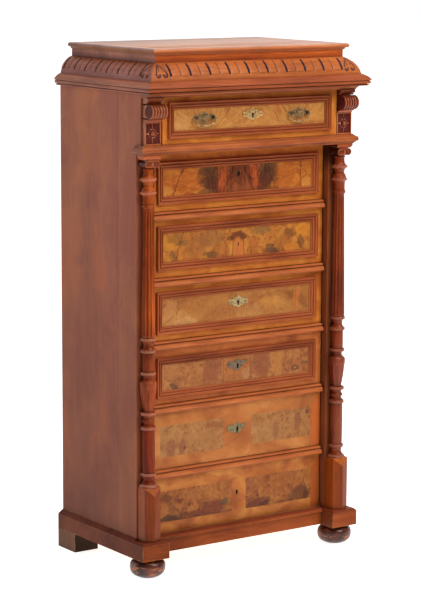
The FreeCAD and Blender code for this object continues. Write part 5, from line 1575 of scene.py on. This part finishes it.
def make_handle_plate(end):
    """An openwork leaf with a rosette and rays, and the two dark posts that carry the bail."""
    node = f"handle_plate_{end}"
    low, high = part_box(node)
    x, z, face = (low.x + high.x) / 2, (low.z + high.z) / 2, high.y
    holes = []
    for angle, reach, wide in HANDLE_SLOTS:
        turn = math.radians(angle)
        holes.append(oval(reach * math.cos(turn), reach * math.sin(turn) - 1.0, wide, 1.35, angle))
    holes.append(oval(23.4, -1.8, 1.5, 2.6, 20))
    pieces = [front_plate(node + "_leaf", [scalloped(mirrored(HANDLE_EDGE))] + both_sides(holes), x, face, z)]
    pieces.append(rosette(node + "_rosette", 7.0, 8, x, face - PLATE * MM, z - 1.5 * MM))
    for angle in range(-80, 81, 32):
        turn = math.radians(angle)
        for way in (-1, 1):
            spots = [(x + way * reach * math.cos(turn) * MM, face - 1.7 * MM,
                      z + (reach * math.sin(turn) - 1.0) * MM)
                     for reach in (6.5, 9.5, 12.5, 15.5)]
            pieces.append(tube(f"{node}_ray_{angle + 80}_{way + 1}", spots, mm(0.6, 0.9, 1.1, 0.7), 6))
    fit(pieces, node + "_openwork", "drawer_1", "brass", node)
    profile = [(4.2, 0.0), (4.0, 1.0), (2.6, 1.8), (2.6, 3.0), (3.6, 3.6)]
    profile += bowed((3.6, 3.6), (0.4, 10.6), -0.42, 8)
    posts = []
    for way in (-1, 1):
        post = lathe(f"{node}_post_{way + 1}", scaled(profile), sides=24)
        posts.append(lay(post, TO_FRONT, (x + way * 29.0 * MM, face - 0.8 * MM, z)))
    fit(posts, node + "_posts", "drawer_1", "brass_dark")
    return x, z


def make_bail(end, x, z):
    """The drop handle: a bow with collars, and its two pins."""
    node = f"bail_{end}"
    low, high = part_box(node)
    y = (low.y + high.y) / 2
    spots, widths = [], []
    count = 40
    for index in range(count + 1):
        angle = math.pi * index / count
        across, drop = 37.6 * math.cos(angle), 24.2 * math.sin(angle) ** 0.86
        spots.append((x + across * MM, y, z - drop * MM))
        collar = 0.5 if abs(abs(across) - 12.0) < 1.4 or abs(abs(across) - 31.5) < 0.9 else 0.0
        widths.append((1.35 + 0.85 * math.sin(angle) ** 2 + collar) * MM)
    pieces = [tube(node + "_bow", spots, widths)]
    for way in (-1, 1):
        spots = [(x + way * across * MM, y, z) for across in (30.2, 34.0, 37.0, 39.6, 40.2)]
        pieces.append(tube(f"{node}_pin_{way + 1}", spots, mm(1.5, 1.5, 2.2, 2.2, 1.2)))
    fit(pieces, node + "_round", node, "brass", node)


LEAF_EDGE = ((0.0, -17.2), (5.2, -15.8), (9.6, -12.4), (15.2, -11.6), (19.6, -7.6), (25.6, -7.8),
             (31.6, -6.2), (35.0, -0.6), (33.0, 5.2), (27.4, 7.4), (22.0, 5.2), (16.6, 6.8), (13.6, 11.2),
             (7.4, 11.2), (4.6, 14.8), (0.0, 17.4))
LEAF_HOLES = [oval(28.0, -0.4, 2.3, 2.5), oval(20.0, 0.0, 2.4, 1.1, 14), oval(11.6, 6.4, 1.1, 2.2, -40),
              oval(11.6, -6.6, 1.1, 2.2, 40)]
LEAF_SCROLLS = (((9.0, 9.0), (24.0, 4.4), 0.2), ((9.0, -10.0), (24.0, -5.0), -0.2))
PLAIN_EDGE = ((0.0, -16.0), (7.0, -13.0), (13.0, -7.0), (19.0, -1.0), (26.0, 2.6), (32.0, 5.0), (33.0, 10.0),
              (27.0, 12.0), (20.0, 9.6), (14.0, 9.0), (7.0, 12.0), (0.0, 15.6), (-7.0, 12.0), (-14.0, 9.6),
              (-22.0, 9.2), (-30.0, 10.4), (-36.0, 7.0), (-37.4, 1.0), (-33.0, -5.6), (-25.0, -9.4),
              (-16.0, -10.4), (-8.0, -14.0))
PLAIN_HOLES = [oval(27.6, 7.4, 1.3, 1.3), oval(-29.0, 1.0, 1.3, 1.3)]


def make_escutcheon(number, look, plain, across=0.0, up=0.0):
    """A lobed plate round the keyhole: a raised shield and loops in its wings, or where plain two veins."""
    node = f"drawer_{number}_escutcheon"
    body = f"drawer_{number}"
    low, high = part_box(node)
    x, z, face = (low.x + high.x) / 2 + across * MM, (low.z + high.z) / 2 + up * MM, high.y
    y = face - PLATE * MM
    loops = [scalloped(PLAIN_EDGE, -0.14), keyhole()] + PLAIN_HOLES
    if not plain:
        loops = [scalloped(mirrored(LEAF_EDGE)), keyhole()] + both_sides(LEAF_HOLES)
    pieces = [front_plate(node + "_leaf", loops, x, face, z), rim(node + "_lip", keyhole(1.0), x, y, z, 0.55)]
    if not plain:
        pieces.append(rim(node + "_shield", oval(0.0, -2.6, 7.6, 11.0, count=28), x, y, z, 0.7))
    for way in (-1, 1):
        tag = f"{node}_{way + 1}"
        if plain:
            vein = [(way * a, b) for a, b in bowed((8.0, 3.0), (23.0, 5.4), 0.1, 8)]
            pieces.append(rim(tag + "_vein", vein, x, y, z, 0.5, False))
            continue
        pieces.append(rim(tag + "_loop", oval(way * 28.0, -0.4, 4.2, 4.6, count=20), x, y, z, 0.8))
        for start, end, bulge in LEAF_SCROLLS:
            spots = [(way * a, b) for a, b in [start] + bowed(start, end, bulge, 8)]
            pieces.append(rim(tag + "_scroll", spots, x, y, z, 0.7, False))
    fit(pieces, node + "_chased", body, look, node)
    # The keyhole's inside is a dark sheet of painted shade.
    keyhole_shade_plate(node + "_hollow", body, keyhole(0.15), x, face, z)


# The arms of drawer seven's keyhole, a dark sheet of painted shade.
KEYHOLE_ARMS = ((-5.4, -4.6), (5.4, -4.6), (5.4, -2.8), (-5.4, -2.8))


def make_bare_keyhole(number, grow):
    """A keyhole straight in the veneer, on drawer two with a thin liner and on seven with arms."""
    body = f"drawer_{number}"
    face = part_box(f"{body}_front")[0].y
    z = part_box(f"{body}_lock")[1].z - 12.0 * MM
    # The keyhole's inside is a dark sheet of painted shade.
    keyhole_shade_plate(f"{body}_keyhole_hollow", body, keyhole(grow), 0.0, face, z)
    if number == 7:
        keyhole_shade_plate(f"{body}_keyhole_arms", body, KEYHOLE_ARMS, 0.0, face, z)
    if number == 2:
        name = f"{body}_keyhole_liner"
        fit([rim(name, keyhole(1.0), 0.0, face, z, 0.7)], name, body, "brass_dark")


for end in SIDES:
    make_bail(end, *make_handle_plate(end))
make_escutcheon(1, "brass_pale", False, across=3.0)
make_escutcheon(4, "brass_silver", False)
make_escutcheon(5, "pewter", True, up=3.0)
make_escutcheon(6, "brass_green", True)
make_bare_keyhole(2, 0.3)
make_bare_keyhole(3, -1.2)
make_bare_keyhole(7, 0.3)


# ---------------------------------------------------------------- camera, floor and light

CAMERA_PLACE = Vector((-3.7582, -5.4289, 1.8228))
CAMERA_YAW = -0.6047
CAMERA_PITCH = -0.1617
CAMERA_ROLL = 0.0041
FOCAL_IN_HEIGHTS = 3.7807
SENSOR = 24.0
ROOM = (0.10, 0.105, 0.12)
BACKDROP = (1.0, 1.0, 1.0)
BACKDROP_TURN = (0.57, 0.82, 0.0)
BACKDROP_FADE = (0.05, 0.8)
FLOOR_REACH = 30.0
FLOOR_GLOW = 0.86
GLOW_FRONT = (-2.6, -1.1)
GLOW_LEFT = (-2.9, -1.35)
MIDDLE = (0, 0, 0.8)


def make_camera():
    data = bpy.data.cameras.new("camera")
    camera = link("camera", data)
    turn = Matrix.Rotation(CAMERA_YAW, 4, "Z") @ Matrix.Rotation(math.pi / 2 + CAMERA_PITCH, 4, "X")
    camera.matrix_world = Matrix.Translation(CAMERA_PLACE) @ turn @ Matrix.Rotation(CAMERA_ROLL, 4, "Z")
    data.sensor_fit = "VERTICAL"
    data.sensor_height = SENSOR
    data.lens = SENSOR * FOCAL_IN_HEIGHTS
    data.clip_end = 100
    SCENE.camera = camera


def make_floor():
    """Pale paper, which glows behind the chest as a lit backdrop does."""
    mesh = bpy.data.meshes.new("floor")
    corners = [(x * FLOOR_REACH, y * FLOOR_REACH, 0) for x, y in ((-1, -1), (1, -1), (1, 1), (-1, 1))]
    mesh.from_pydata(corners, [], [(0, 1, 2, 3)])
    floor = link("floor", mesh)
    s = Shade("floor_paper")
    s.set(Base_Color=s.ramp(s.noise(s.place, 60.0, 3), (0.3, 0.86), (0.7, 0.9)), Roughness=0.9)
    across, along, _ = s.split(s.place)
    pool = s.times(s.step(along, *GLOW_FRONT), s.step(across, *GLOW_LEFT))
    s.set(Emission_Color=FULL, Emission_Strength=s.times(pool, FLOOR_GLOW))
    mesh.materials.append(s.material)


def area_light(name, place, aim, width, height, power, colour=FULL):
    data = bpy.data.lights.new(name, "AREA")
    data.shape = "RECTANGLE"
    data.size = width
    data.size_y = height
    data.energy = power
    data.color = colour
    light = link(name, data)
    light.location = place
    light.rotation_euler = (Vector(aim) - Vector(place)).to_track_quat("-Z", "Y").to_euler()


def make_light():
    """A bright paper backdrop behind, a dimmer room in front, and four soft boxes."""
    world = bpy.data.worlds.new("studio")
    SCENE.world = world
    world.use_nodes = True
    tree = world.node_tree
    place = tree.nodes.new("ShaderNodeTexCoord").outputs["Generated"]
    turn = tree.nodes.new("ShaderNodeVectorMath")
    turn.operation = "DOT_PRODUCT"
    tree.links.new(place, turn.inputs[0])
    turn.inputs[1].default_value = BACKDROP_TURN
    fade = tree.nodes.new("ShaderNodeMapRange")
    fade.data_type = "FLOAT_VECTOR"
    fade.interpolation_type = "SMOOTHSTEP"
    tree.links.new(turn.outputs["Value"], fade.inputs[6])
    limits = ([BACKDROP_FADE[0]] * 3, [BACKDROP_FADE[1]] * 3, ROOM, BACKDROP)
    for socket, value in zip(fade.inputs[7:11], limits):
        socket.default_value = value
    tree.links.new(fade.outputs["Vector"], tree.nodes["Background"].inputs["Color"])
    area_light("key", (1.5, -4.0, 4.2), MIDDLE, 1.6, 1.6, 150, (1.0, 0.96, 0.9))
    area_light("fill", (-4.5, -2.0, 2.2), MIDDLE, 1.6, 2.2, 10, (0.75, 0.87, 1.0))
    area_light("rim", (-3.6, 3.0, 1.8), (-0.3, 0, 0.8), 1.5, 2.5, 50, (0.7, 0.84, 1.0))
    area_light("overhead", (0.0, -1.4, 3.8), (0, 0, 0.9), 2.6, 1.6, 60)
    SCENE.view_settings.view_transform = "Standard"


make_camera()
make_floor()
make_light()
